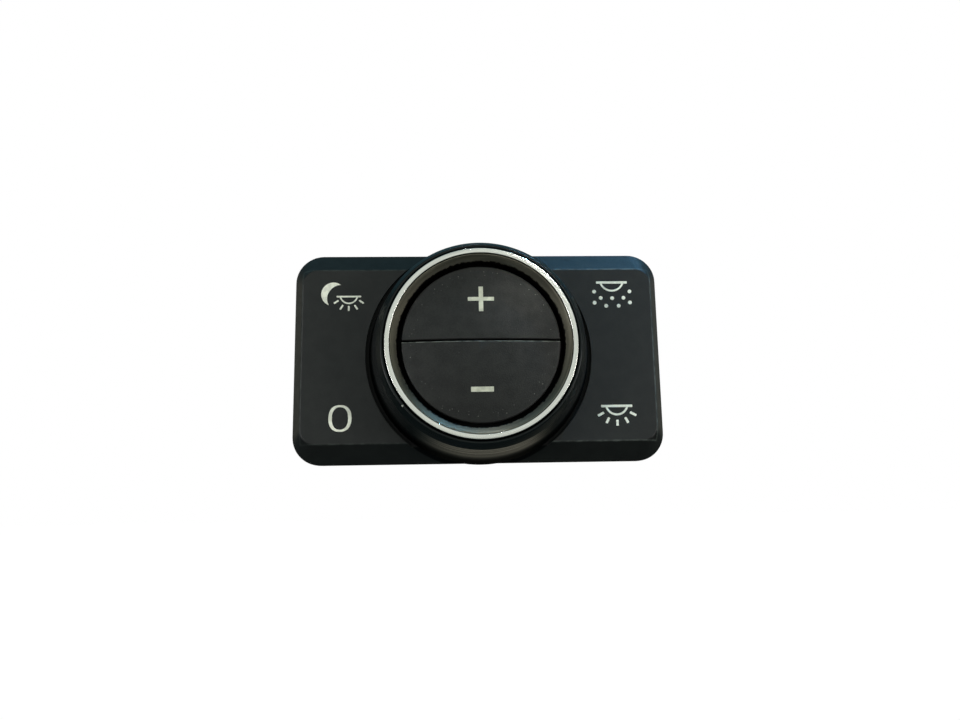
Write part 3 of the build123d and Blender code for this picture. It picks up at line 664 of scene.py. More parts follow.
class EffectGroups:
    """Shader groups for effects that several finishes share, with sizes in metres.

    Attributes:
        COARSE_STEP: How many times larger the coarse grain is than the fine one.
        FINE_SHARE: Share of the fine grain in the height.
        HIGHLIGHT_BREAK_SCALE: Scale of the breaks in a painted highlight along an edge.
        WAVE_SCALE: Scale of the unevenness of a shade's border.
        SPLIT_SCALE: Scale of the breaks in the painted highlight under a parting line.
    """

    COARSE_STEP = 13.0
    FINE_SHARE = 0.7
    HIGHLIGHT_BREAK_SCALE = 500.0
    WAVE_SCALE = 1300.0
    SPLIT_SCALE = 900.0

    def __init__(self) -> None:
        """Build each group once."""
        self.grain = self._grain()
        self.specks = self._specks()
        self.turning = self._turning()
        self.band = self._band()
        self.edge_highlight = self._edge_highlight()
        self.hollow = self._hollow()
        self.parting = self._parting()

    @staticmethod
    def _start(
        name: str, inputs: dict[str, float], outputs: Sequence[str]
    ) -> tuple[ShaderBook, bpy.types.Node, bpy.types.Node]:
        """Make an empty group.

        Args:
            name: The group's name.
            inputs: Each number input with its default.
            outputs: Names of the outputs, which are all numbers.

        Returns:
            A node book on the group, its input node and its output node.
        """
        tree = bpy.data.node_groups.new(name, "ShaderNodeTree")
        tree.interface.new_socket("Vector", in_out="INPUT", socket_type="NodeSocketVector")
        for key, value in inputs.items():
            socket = tree.interface.new_socket(key, in_out="INPUT", socket_type="NodeSocketFloat")
            socket.default_value = value
        for key in outputs:
            tree.interface.new_socket(key, in_out="OUTPUT", socket_type="NodeSocketFloat")
        start = tree.nodes.new("NodeGroupInput")
        end = tree.nodes.new("NodeGroupOutput")
        return ShaderBook(tree), start, end

    @staticmethod
    def _radius(book: ShaderBook, x: Feed, z: Feed) -> bpy.types.NodeSocket:
        """Work out the distance from the knob's axis.

        Args:
            book: The group's book.
            x: The place's first number.
            z: The place's third number.

        Returns:
            The distance's socket.
        """
        across = book.number("POWER", x, 2.0)
        upward = book.number("POWER", z, 2.0)
        return book.number("SQRT", book.number("ADD", across, upward))

    def _grain(self) -> bpy.types.NodeTree:
        """Build the fine texture of moulded plastic.

        Returns:
            A group with the grain's height and its slow changes of tone.
        """
        book, start, end = self._start("moulded_grain", {"Size": 0.00025}, ("Height", "Mottle"))
        fine_scale = book.number("DIVIDE", 1.0, start.outputs["Size"])
        fine = book.noise(start.outputs["Vector"], fine_scale)
        coarse_scale = book.number("DIVIDE", fine_scale, self.COARSE_STEP)
        coarse = book.noise(start.outputs["Vector"], coarse_scale, 3.0)
        fine_part = book.number("MULTIPLY", fine, self.FINE_SHARE)
        coarse_part = book.number("MULTIPLY", coarse, 1 - self.FINE_SHARE)
        book.feed(end.inputs["Height"], book.number("ADD", fine_part, coarse_part))
        book.feed(end.inputs["Mottle"], book.spread(coarse, 0.34, 0.68))
        return book.tree

    def _specks(self) -> bpy.types.NodeTree:
        """Build scattered specks of dust.

        Returns:
            A group with a mask of the specks.
        """
        book, start, end = self._start(
            "dust_specks", {"Spacing": 0.0012, "Share": 0.2, "Radius": 0.1}, ("Mask",)
        )
        scale = book.number("DIVIDE", 1.0, start.outputs["Spacing"])
        cells = book.add("ShaderNodeTexVoronoi", {"Vector": start.outputs["Vector"], "Scale": scale})
        pick = book.add("ShaderNodeSeparateColor", {"Color": cells.outputs["Color"]})
        size = book.number("MULTIPLY", start.outputs["Radius"], pick.outputs[1])
        inner = book.number("MULTIPLY", size, 0.5)
        round_mask = book.spread(cells.outputs["Distance"], inner, size, 1.0, 0.0)
        chosen = book.number("LESS_THAN", pick.outputs[0], start.outputs["Share"])
        book.feed(end.inputs["Mask"], book.number("MULTIPLY", round_mask, chosen))
        return book.tree

    def _turning(self) -> bpy.types.NodeTree:
        """Build the fine lines that a lathe leaves round the knob's axis.

        Returns:
            A group with the lines' height and the streaks along them.
        """
        book, start, end = self._start(
            "turned_lines", {"Pitch": 0.0003, "Slant": 0.5}, ("Height", "Streak")
        )
        x, y, z = book.parts(start.outputs["Vector"])
        slanted = book.number("MULTIPLY", y, start.outputs["Slant"])
        along = book.number("ADD", self._radius(book, x, z), slanted)
        travel = book.number("DIVIDE", along, start.outputs["Pitch"])
        lines = book.add(
            "ShaderNodeTexNoise", {"W": travel, "Scale": 1.0, "Detail": 3.0}, noise_dimensions="1D"
        )
        angle = book.number("ARCTAN2", z, x)
        streak = book.noise(book.vector(book.number("MULTIPLY", angle, 2.0), travel), 1.0)
        book.feed(end.inputs["Height"], lines.outputs[0])
        book.feed(end.inputs["Streak"], streak)
        return book.tree

    def _band(self) -> bpy.types.NodeTree:
        """Build a soft band round the knob's axis.

        Returns:
            A group with a mask of the band.
        """
        book, start, end = self._start("round_band", {"Radius": 0.017, "Width": 0.001}, ("Mask",))
        x, _, z = book.parts(start.outputs["Vector"])
        radius = self._radius(book, x, z)
        gap = book.number("ABSOLUTE", book.number("SUBTRACT", radius, start.outputs["Radius"]))
        book.feed(end.inputs["Mask"], book.spread(gap, 0.0, start.outputs["Width"], 1.0, 0.0))
        return book.tree

    def _edge_highlight(self) -> bpy.types.NodeTree:
        """Build a broken painted highlight along the four edges of a face, stronger towards the right.

        Returns:
            A group with a mask of the painted highlight.
        """
        book, start, end = self._start(
            "edge_highlight", {"Half X": 0.0404, "Half Z": 0.02, "Width": 0.0003}, ("Mask",)
        )
        x, _, z = book.parts(start.outputs["Vector"])
        from_side = book.number("SUBTRACT", book.number("ABSOLUTE", x), start.outputs["Half X"])
        from_end = book.number("SUBTRACT", book.number("ABSOLUTE", z), start.outputs["Half Z"])
        gap = book.number("ABSOLUTE", book.number("MAXIMUM", from_side, from_end))
        line = book.spread(gap, 0.0, start.outputs["Width"], 1.0, 0.0)
        patches = book.noise(start.outputs["Vector"], self.HIGHLIGHT_BREAK_SCALE, 4.0)
        broken = book.spread(patches, 0.4, 0.62, 0.35, 1.0)
        to_right = book.spread(x, -0.03, 0.03, 0.4, 1.0)
        highlight_share = book.number("MULTIPLY", broken, to_right)
        book.feed(end.inputs["Mask"], book.number("MULTIPLY", line, highlight_share))
        return book.tree

    def _hollow(self) -> bpy.types.NodeTree:
        """Build the shade inside a radius and below a level, where hardly any light comes.

        Returns:
            A group with a mask of the shade.
        """
        book, start, end = self._start(
            "hollow_shade",
            {"Radius": 0.0, "Reach": 0.0005, "Level": -1.0, "Depth": 0.0004, "Uneven": 0.0},
            ("Mask",),
        )
        x, y, z = book.parts(start.outputs["Vector"])
        wave = book.noise(start.outputs["Vector"], self.WAVE_SCALE, 3.0)
        shift = book.number("MULTIPLY", book.number("SUBTRACT", wave, 0.5), start.outputs["Uneven"])
        radius = book.number("ADD", self._radius(book, x, z), shift)
        bound = start.outputs["Radius"]
        clear = book.number("ADD", bound, start.outputs["Reach"])
        inside = book.spread(radius, bound, clear, 1.0, 0.0)
        level = book.number("MULTIPLY", y, -1.0)
        deep = book.number("SUBTRACT", start.outputs["Level"], start.outputs["Depth"])
        below = book.spread(level, deep, start.outputs["Level"], 1.0, 0.0)
        used = book.number("GREATER_THAN", bound, 0.0)
        around = book.number("MULTIPLY", inside, used)
        book.feed(end.inputs["Mask"], book.number("MAXIMUM", around, below))
        return book.tree

    def _parting(self) -> bpy.types.NodeTree:
        """Build the painted shade in the gap between two halves and the painted highlight on the edge
        under it.

        Returns:
            A group with masks of the painted gap shade and of the painted highlight.
        """
        book, start, end = self._start(
            "parting_line", {"Height": 0.0006, "Half": 0.0001, "Edge": 0.00015}, ("Gap Shade", "Highlight")
        )
        _, _, z = book.parts(start.outputs["Vector"])
        above = book.number("SUBTRACT", z, start.outputs["Height"])
        half = start.outputs["Half"]
        soft = book.number("MULTIPLY", half, 1.5)
        book.feed(end.inputs["Gap Shade"], book.spread(book.number("ABSOLUTE", above), half, soft, 1.0, 0.0))
        under = book.number("ADD", above, book.number("ADD", soft, start.outputs["Edge"]))
        line = book.spread(book.number("ABSOLUTE", under), 0.0, start.outputs["Edge"], 1.0, 0.0)
        patches = book.noise(start.outputs["Vector"], self.SPLIT_SCALE, 3.0)
        broken = book.spread(patches, 0.35, 0.6, 0.2, 1.0)
        book.feed(end.inputs["Highlight"], book.number("MULTIPLY", line, broken))
        return book.tree


@dataclass(frozen=True)
class Finish:
    """What every finish has: a name, the record's slot, a colour, a roughness and a shine."""

    name: str
    slot: str
    colour: Colour
    roughness: float = 0.5
    specular: float = 0.5

    def start(self) -> tuple[bpy.types.Material, ShaderBook, bpy.types.Node, bpy.types.NodeSocket]:
        """Make an empty material.

        Returns:
            The material, a node book on it, its principled shader and the object coordinates.
        """
        material = bpy.data.materials.new(self.name)
        book = ShaderBook.on(material)
        shader = book.add("ShaderNodeBsdfPrincipled", {"Specular IOR Level": self.specular})
        output = book.add("ShaderNodeOutputMaterial", {})
        book.feed(output.inputs["Surface"], shader.outputs[0])
        coordinates = book.add("ShaderNodeTexCoord", {}).outputs["Object"]
        return material, book, shader, coordinates

    def tinted(self, factor: float) -> Colour:
        """Return the colour, lighter or darker."""
        red, green, blue = self.colour
        return (red * factor, green * factor, blue * factor)

    def build(self, effects: EffectGroups) -> bpy.types.Material:
        """Build the material from nodes.

        Args:
            effects: The shader groups that finishes share.

        Returns:
            The material.
        """
        raise NotImplementedError


@dataclass(frozen=True)
class MouldedPlastic(Finish):
    """Moulded plastic with a fine texture and some dust, with painted highlights along edges and painted
    shade in gaps and hollows.

    Attributes:
        grain_size: Size of the texture.
        grain_depth: Depth of the texture.
        mottle: Share by which the tone changes slowly.
        gloss_swing: How much rougher the texture's hollows are, and how much smoother its tops.
        grain_range: Heights of the texture between which the roughness changes.
        dust: Share of the places that hold a speck.
        dust_colour: The specks' colour.
        dust_band: Radius and half width of the band that keeps dust; without a width it is all over.
        dust_size: Radius of the largest specks, as a share of their spacing.
        dust_spacing: Distance between the places for specks.
        highlight_strength: Strength of the painted highlight along the edges of a face.
        highlight_half: Half width and half height of that face.
        highlight_tint: How many times brighter the painted highlight is.
        shade_radius: Radius inside which the surface lies in the dark, or 0.
        shade_reach: Distance over which that dark fades.
        shade_depth: Share of the shine that the dark takes away.
        shade_level: Level under which the surface lies in the dark.
        shade_tint: Brightness of the colour in the dark.
        parting: Height of the line between two halves, or None.
        gap_shade_tint: Brightness of the painted shade in that line.
        split_highlight_tint: How many times brighter the painted highlight on the edge under it is.
    """

    grain_size: float = 0.25
    grain_depth: float = 0.012
    mottle: float = 0.35
    gloss_swing: float = 0.033
    grain_range: Spot = (0.38, 0.62)
    dust: float = 0.0
    dust_colour: Colour = (0.2, 0.2, 0.18)
    dust_band: Spot = (0.0, 0.0)
    dust_size: float = 0.1
    dust_spacing: float = 0.6
    highlight_strength: float = 0.0
    highlight_half: Spot = (40.4, 20.05)
    highlight_tint: float = 14.0
    shade_radius: float = 0.0
    shade_reach: float = 0.5
    shade_depth: float = 1.0
    shade_level: float = FAR_DOWN
    shade_tint: float = 0.1
    parting: float | None = None
    gap_shade_tint: float = 0.05
    split_highlight_tint: float = 24.0

    def build(self, effects: EffectGroups) -> bpy.types.Material:
        """Build the material from nodes.

        Args:
            effects: The shader groups that finishes share.

        Returns:
            The material.
        """
        material, book, shader, coordinates = self.start()
        grain = book.group(effects.grain, Vector=coordinates, Size=self.grain_size * MM)
        darker, lighter = self.tinted(1 - self.mottle / 2), self.tinted(1 + self.mottle / 2)
        colour = book.blend(grain.outputs["Mottle"], darker, lighter)
        painted_dark: Feed = 0.0
        # Painted highlight: a broken light line along the face's edges, stronger towards the right.
        if self.highlight_strength:
            edge = book.group(
                effects.edge_highlight,
                Vector=coordinates,
                Half_X=self.highlight_half[0] * MM,
                Half_Z=self.highlight_half[1] * MM,
            )
            share = book.number("MULTIPLY", edge.outputs["Mask"], self.highlight_strength)
            colour = book.blend(share, colour, self.tinted(self.highlight_tint))
        if self.dust:
            specks = book.group(
                effects.specks,
                Vector=coordinates,
                Share=self.dust,
                Radius=self.dust_size,
                Spacing=self.dust_spacing * MM,
            )
            mask = specks.outputs["Mask"]
            if self.dust_band[1]:
                band = book.group(
                    effects.band,
                    Vector=coordinates,
                    Radius=self.dust_band[0] * MM,
                    Width=self.dust_band[1] * MM,
                )
                mask = book.number("MULTIPLY", mask, band.outputs["Mask"])
            colour = book.blend(mask, colour, self.dust_colour)
        # Painted shade in the gap between two halves, and a painted highlight on the edge under it.
        if self.parting is not None:
            parting = book.group(effects.parting, Vector=coordinates, Height=self.parting * MM)
            colour = book.blend(parting.outputs["Highlight"], colour, self.tinted(self.split_highlight_tint))
            colour = book.blend(parting.outputs["Gap Shade"], colour, self.tinted(self.gap_shade_tint))
            painted_dark = parting.outputs["Gap Shade"]
        if self.shade_radius or self.shade_level > FAR_DOWN:
            hollow = book.group(
                effects.hollow,
                Vector=coordinates,
                Radius=self.shade_radius * MM,
                Reach=self.shade_reach * MM,
                Level=self.shade_level * MM,
            )
            colour = book.blend(hollow.outputs["Mask"], colour, self.tinted(self.shade_tint))
            shade = book.number("MULTIPLY", hollow.outputs["Mask"], self.shade_depth)
            painted_dark = book.number("MAXIMUM", painted_dark, shade)
        height = grain.outputs["Height"]
        hollows, tops = self.roughness + self.gloss_swing, self.roughness - self.gloss_swing
        # Metallic over the nearly black colour takes the shine away where shade is painted.
        book.feed(shader.inputs["Metallic"], painted_dark)
        book.feed(shader.inputs["Base Color"], colour)
        book.feed(shader.inputs["Roughness"], book.spread(height, *self.grain_range, hollows, tops))
        book.bump(shader, height, self.grain_depth)
        return material


@dataclass(frozen=True)
class TurnedSurface(Finish):
    """A surface of revolution with fine lines round its axis, in plastic or plated metal.

    Attributes:
        metallic: 0 for plastic, 1 for bright plating.
        pitch: Distance between the fine lines.
        slant: Share of the level that counts as distance, so that steep walls have lines too.
        line_depth: Depth of the lines.
        streaks: Share by which the tone changes from line to line.
        dust: Share of the places that hold a speck.
        dust_colour: The specks' colour.
        dust_size: Radius of the largest specks, as a share of their spacing.
        dust_spacing: Distance between the places for specks.
        shade_radius: Radius inside which the surface lies in the dark, or 0.
        shade_reach: Distance over which that dark fades.
        shade_uneven: Distance by which its border wanders.
        shade_tint: Brightness of the colour in the dark.
        foot_fade: Levels between which the surface fades into the dark at its foot.
        foot_tint: Brightness of the colour there.
        groove_shade: Radius and half width of the painted shade in a groove.
    """

    metallic: float = 0.0
    pitch: float = 0.3
    slant: float = 0.5
    line_depth: float = 0.004
    streaks: float = 0.2
    dust: float = 0.0
    dust_colour: Colour = (0.45, 0.45, 0.4)
    dust_size: float = 0.3
    dust_spacing: float = 0.5
    shade_radius: float = 0.0
    shade_reach: float = 0.2
    shade_uneven: float = 0.7
    shade_tint: float = 0.02
    foot_fade: Spot = (0.0, 0.0)
    foot_tint: float = 0.1
    groove_shade: Spot = (0.0, 0.0)

    def build(self, effects: EffectGroups) -> bpy.types.Material:
        """Build the material from nodes.

        Args:
            effects: The shader groups that finishes share.

        Returns:
            The material.
        """
        material, book, shader, coordinates = self.start()
        lines = book.group(effects.turning, Vector=coordinates, Pitch=self.pitch * MM, Slant=self.slant)
        streak = lines.outputs["Streak"]
        colour = book.blend(streak, self.tinted(1 - self.streaks), self.tinted(1 + self.streaks / 2))
        if self.dust:
            specks = book.group(
                effects.specks,
                Vector=coordinates,
                Share=self.dust,
                Spacing=self.dust_spacing * MM,
                Radius=self.dust_size,
            )
            colour = book.blend(specks.outputs["Mask"], colour, self.dust_colour)
        if self.shade_radius:
            hollow = book.group(
                effects.hollow,
                Vector=coordinates,
                Radius=self.shade_radius * MM,
                Reach=self.shade_reach * MM,
                Uneven=self.shade_uneven * MM,
            )
            colour = book.blend(hollow.outputs["Mask"], colour, self.tinted(self.shade_tint))
        metallic: Feed = self.metallic
        rough = book.spread(streak, 0.2, 0.8, self.roughness - 0.05, self.roughness + 0.06)
        if self.foot_fade[1]:
            low, high = self.foot_fade
            _, depth, _ = book.parts(coordinates)
            foot = book.spread(depth, -high * MM, -low * MM)
            colour = book.blend(foot, colour, self.tinted(self.foot_tint))
            # Painted shade in the groove, which loses its shine through Metallic over the nearly black
            # colour, as the foot does.
            groove_shade = book.group(
                effects.band, Vector=coordinates, Radius=self.groove_shade[0] * MM, Width=self.groove_shade[1] * MM
            )
            metallic = book.number("MAXIMUM", groove_shade.outputs["Mask"], foot)
            rough = book.number("MAXIMUM", rough, foot)
        book.feed(shader.inputs["Base Color"], colour)
        book.feed(shader.inputs["Metallic"], metallic)
        book.feed(shader.inputs["Roughness"], rough)
        book.bump(shader, lines.outputs["Height"], self.line_depth)
        return material


@dataclass(frozen=True)
class ClearPlastic(Finish):
    """Clear moulded plastic with faint flow marks."""

    flow_size: float = 1.2
    clearness: float = 0.7

    def build(self, effects: EffectGroups) -> bpy.types.Material:
        """Build the material from nodes.

        Args:
            effects: The shader groups that finishes share.

        Returns:
            The material.
        """
        material, book, shader, coordinates = self.start()
        grain = book.group(effects.grain, Vector=coordinates, Size=self.flow_size * MM)
        mottle = grain.outputs["Mottle"]
        rough = book.spread(mottle, 0.0, 1.0, self.roughness, self.roughness + 0.1)
        book.feed(shader.inputs["Base Color"], book.blend(mottle, self.tinted(0.92), self.colour))
        book.feed(shader.inputs["Roughness"], rough)
        shader.inputs["Transmission Weight"].default_value = self.clearness
        return material


@dataclass(frozen=True)
class BoardLacquer(Finish):
    """Green circuit board with lighter lines where the copper runs."""

    track_scale: float = 420.0
    track_band: Spot = (0.42, 0.46)
    track_tint: float = 1.7
    track_depth: float = 0.03
    weave_size: float = 0.4

    def build(self, effects: EffectGroups) -> bpy.types.Material:
        """Build the material from nodes.

        Args:
            effects: The shader groups that finishes share.

        Returns:
            The material.
        """
        material, book, shader, coordinates = self.start()
        pattern = {"Vector": coordinates, "Scale": self.track_scale}
        cells = book.add("ShaderNodeTexVoronoi", pattern, distance="MANHATTAN")
        lines = book.spread(cells.outputs["Distance"], *self.track_band)
        grain = book.group(effects.grain, Vector=coordinates, Size=self.weave_size * MM)
        colour = book.blend(lines, self.colour, self.tinted(self.track_tint))
        book.feed(shader.inputs["Base Color"], colour)
        rough = book.spread(grain.outputs["Mottle"], 0.0, 1.0, self.roughness, self.roughness + 0.12)
        book.feed(shader.inputs["Roughness"], rough)
        book.bump(shader, lines, self.track_depth, 0.6)
        return material


@dataclass(frozen=True)
class SheetMetal(Finish):
    """Bare metal with fine scratches."""

    metallic: float = 1.0
    stretch: Corner = (1.0, 0.04, 1.0)
    scratch_scale: float = 4200.0
    scratch_depth: float = 0.0005
    stain_size: float = 0.6

    def build(self, effects: EffectGroups) -> bpy.types.Material:
        """Build the material from nodes.

        Args:
            effects: The shader groups that finishes share.

        Returns:
            The material.
        """
        material, book, shader, coordinates = self.start()
        stretched = book.add("ShaderNodeMapping", {"Vector": coordinates, "Scale": self.stretch})
        scratches = book.noise(stretched.outputs[0], self.scratch_scale)
        grain = book.group(effects.grain, Vector=coordinates, Size=self.stain_size * MM)
        colour = book.blend(grain.outputs["Mottle"], self.tinted(0.9), self.tinted(1.06))
        book.feed(shader.inputs["Base Color"], colour)
        shader.inputs["Metallic"].default_value = self.metallic
        rough = book.spread(scratches, 0.3, 0.7, self.roughness - 0.06, self.roughness + 0.1)
        book.feed(shader.inputs["Roughness"], rough)
        book.bump(shader, scratches, self.scratch_depth, 0.7)
        return material


@dataclass(frozen=True)
class PaleInk(Finish):
    """Pale lacquer of the marks, slightly uneven."""

    grain_size: float = 0.1
    grain_depth: float = 0.006

    def build(self, effects: EffectGroups) -> bpy.types.Material:
        """Build the material from nodes.

        Args:
            effects: The shader groups that finishes share.

        Returns:
            The material.
        """
        material, book, shader, coordinates = self.start()
        grain = book.group(effects.grain, Vector=coordinates, Size=self.grain_size * MM)
        height = grain.outputs["Height"]
        colour = book.blend(grain.outputs["Mottle"], self.tinted(0.8), self.tinted(1.06))
        book.feed(shader.inputs["Base Color"], colour)
        rough = book.spread(height, 0.3, 0.7, self.roughness - 0.05, self.roughness + 0.05)
        book.feed(shader.inputs["Roughness"], rough)
        book.bump(shader, height, self.grain_depth)
        return material


PLATE_BLACK: Colour = (0.0065, 0.0075, 0.0068)
BUTTON_BLACK: Colour = (0.0075, 0.008, 0.007)
HOUSING_BLACK: Colour = (0.014, 0.014, 0.014)
SLEEVE_BLACK: Colour = (0.0015, 0.0015, 0.0015)
KNOB_BLACK: Colour = (0.0036, 0.006, 0.0062)

FINISHES: tuple[Finish, ...] = (
    # The plate has a painted highlight along its face's edges.
    MouldedPlastic(
        "plate_black", "plate_plastic", PLATE_BLACK, 0.52, 0.4, gloss_swing=0.04, dust=0.03, highlight_strength=0.9,
        shade_radius=25.65, shade_reach=0.35, shade_depth=0.62,
    ),
    # The buttons have painted shade in the gap between them, with a painted highlight under it.
    MouldedPlastic(
        "button_black", "plate_plastic", BUTTON_BLACK, 0.55, 0.4, grain_depth=0.06, mottle=0.5,
        gloss_swing=0.1, dust=0.7, dust_size=0.25, dust_colour=(0.12, 0.12, 0.105), dust_band=(16.2, 3.2),
        shade_level=18.8, parting=0.6,
    ),
    MouldedPlastic("housing_black", "housing_plastic", HOUSING_BLACK, 0.5, 0.4, grain_size=0.35),
    MouldedPlastic("sleeve_black", "housing_plastic", SLEEVE_BLACK, 0.7, 0.1, grain_size=0.35),
    # The knob has painted shade in its groove and at its foot.
    TurnedSurface(
        "knob_black", "knob_plastic", KNOB_BLACK, 0.3, 0.26, pitch=0.35, streaks=0.3,
        foot_fade=(8.0, 15.8), groove_shade=(20.55, 0.55),
    ),
    TurnedSurface(
        "bright_chrome", "bright_plating", (0.84, 0.825, 0.785), 0.2, metallic=1.0, pitch=0.14,
        slant=0.2, line_depth=0.001, streaks=0.5,
    ),
    TurnedSurface(
        "satin_bronze", "satin_plating", (0.235, 0.217, 0.166), 0.42, metallic=0.9, pitch=0.2,
        line_depth=0.006, streaks=0.5, dust=0.5, dust_colour=(0.3, 0.29, 0.24), shade_radius=17.85,
    ),
    PaleInk("pale_ink", "pale_plastic", (0.97, 0.97, 0.82), 0.5),
    # A darker copy of the pale ink: painted shade for the marks on the buttons.
    PaleInk("pale_ink_shaded", "pale_plastic", (0.62, 0.63, 0.5), 0.5),
    PaleInk("pointer_grey", "pale_plastic", (0.28, 0.29, 0.25), 0.5),
    ClearPlastic("clear_guide", "clear_plastic", (0.82, 0.85, 0.85), 0.08),
    SheetMetal("spring_steel", "spring_steel", (0.55, 0.55, 0.56), 0.3),
    MouldedPlastic("natural_acetal", "slip_plastic", (0.68, 0.68, 0.62), 0.4, mottle=0.12),
    BoardLacquer("board_green", "board", (0.012, 0.085, 0.03), 0.3),
    MouldedPlastic("lamp_resin", "lamp_resin", (0.8, 0.76, 0.45), 0.2, mottle=0.1),
    MouldedPlastic("chip_resin", "chip_resin", (0.02, 0.02, 0.021), 0.45),
    SheetMetal("can_aluminium", "aluminium_can", (0.72, 0.72, 0.73), 0.28),
    SheetMetal("tinned_pins", "tinned_brass", (0.74, 0.7, 0.58), 0.22),
    SheetMetal("magnet_grey", "magnet_metal", (0.32, 0.32, 0.34), 0.35),
)


class Wardrobe:
    """Builds every finish once and puts them on pieces and CAD nodes."""

    def __init__(self, frame: dict) -> None:
        """Build the finishes.
        """
        effects = EffectGroups()
        self.nodes: dict[str, bpy.types.Object] = frame["nodes"]
        self.finishes = {finish.name: finish for finish in FINISHES}
        self.materials = {finish.name: finish.build(effects) for finish in FINISHES}

    def dress_node(self, node: str, finish: str) -> None:
        """Give a CAD node a finish.

        Args:
            node: The node's name.
            finish: Name of the finish.
        """
        thing = self.nodes[node]
        if not thing.material_slots:
            thing.data.materials.append(self.materials[finish])
        for slot in thing.material_slots:
            slot.material = self.materials[finish]
        LOG.info("%s keeps its solid and gets %s", node, finish)

    def dress_piece(
        self, piece: bpy.types.Object, finish: str, body: Body, replaces: Sequence[str] = ()
    ) -> None:
        """Give a piece its finish, its body and the nodes that it stands for.

        Args:
            piece: The piece.
            finish: Name of its finish.
            body: The body that it rides on.
            replaces: CAD nodes that it stands for.
        """
        piece.data.materials.clear()
        piece.data.materials.append(self.materials[finish])
        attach(piece, body.value)
        if replaces:
            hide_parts(*replaces)
        LOG.info("%s rides on %s with %s", piece.name, body.value, finish)


# The sub-assemblies


@dataclass
class LampMark:
    """A lamp seen from the side: a bar, a bowl under it, and rays or drops of light."""

    centre: Spot
    bar_half: float
    bar_width: float
    bowl_half: float
    bowl_depth: float
    bowl_width: float
    bowl_inset: float = 0.4
    bowl_steps: int = 24
    ray_width: float = 0.52
    rays: tuple[tuple[Spot, Spot], ...] = ()
    drops: tuple[Spot, ...] = ()
    drop_radius: float = 0.45

    def draw(self, inlay: Inlay) -> None:
        """Add the mark's shapes to an inlay.

        Args:
            inlay: The inlay of the piece that the mark belongs to.
        """
        x, z = self.centre
        inlay.bar((x - self.bar_half, z), (x + self.bar_half, z), self.bar_width)
        inset = self.bar_width * self.bowl_inset
        depth = self.bowl_depth - inset
        radius = (self.bowl_half**2 + depth**2) / (2 * depth)
        middle = (x, z - inset + radius - depth)
        edges = []
        for reach in (radius, radius - self.bowl_width):
            tilt = math.degrees(math.asin(min((radius - depth) / reach, 1.0)))
            edges.append(arc(middle, reach, 180 + tilt, 360 - tilt, self.bowl_steps))
        inlay.ribbon(*edges)
        for ray in self.rays:
            for (x1, z1), (x2, z2) in both_sides(ray):
                inlay.bar((x + x1, z + z1), (x + x2, z + z2), self.ray_width)
        for drop in self.drops:
            for ((drop_x, drop_z),) in both_sides((drop,)):
                inlay.dot((x + drop_x, z + drop_z), self.drop_radius)


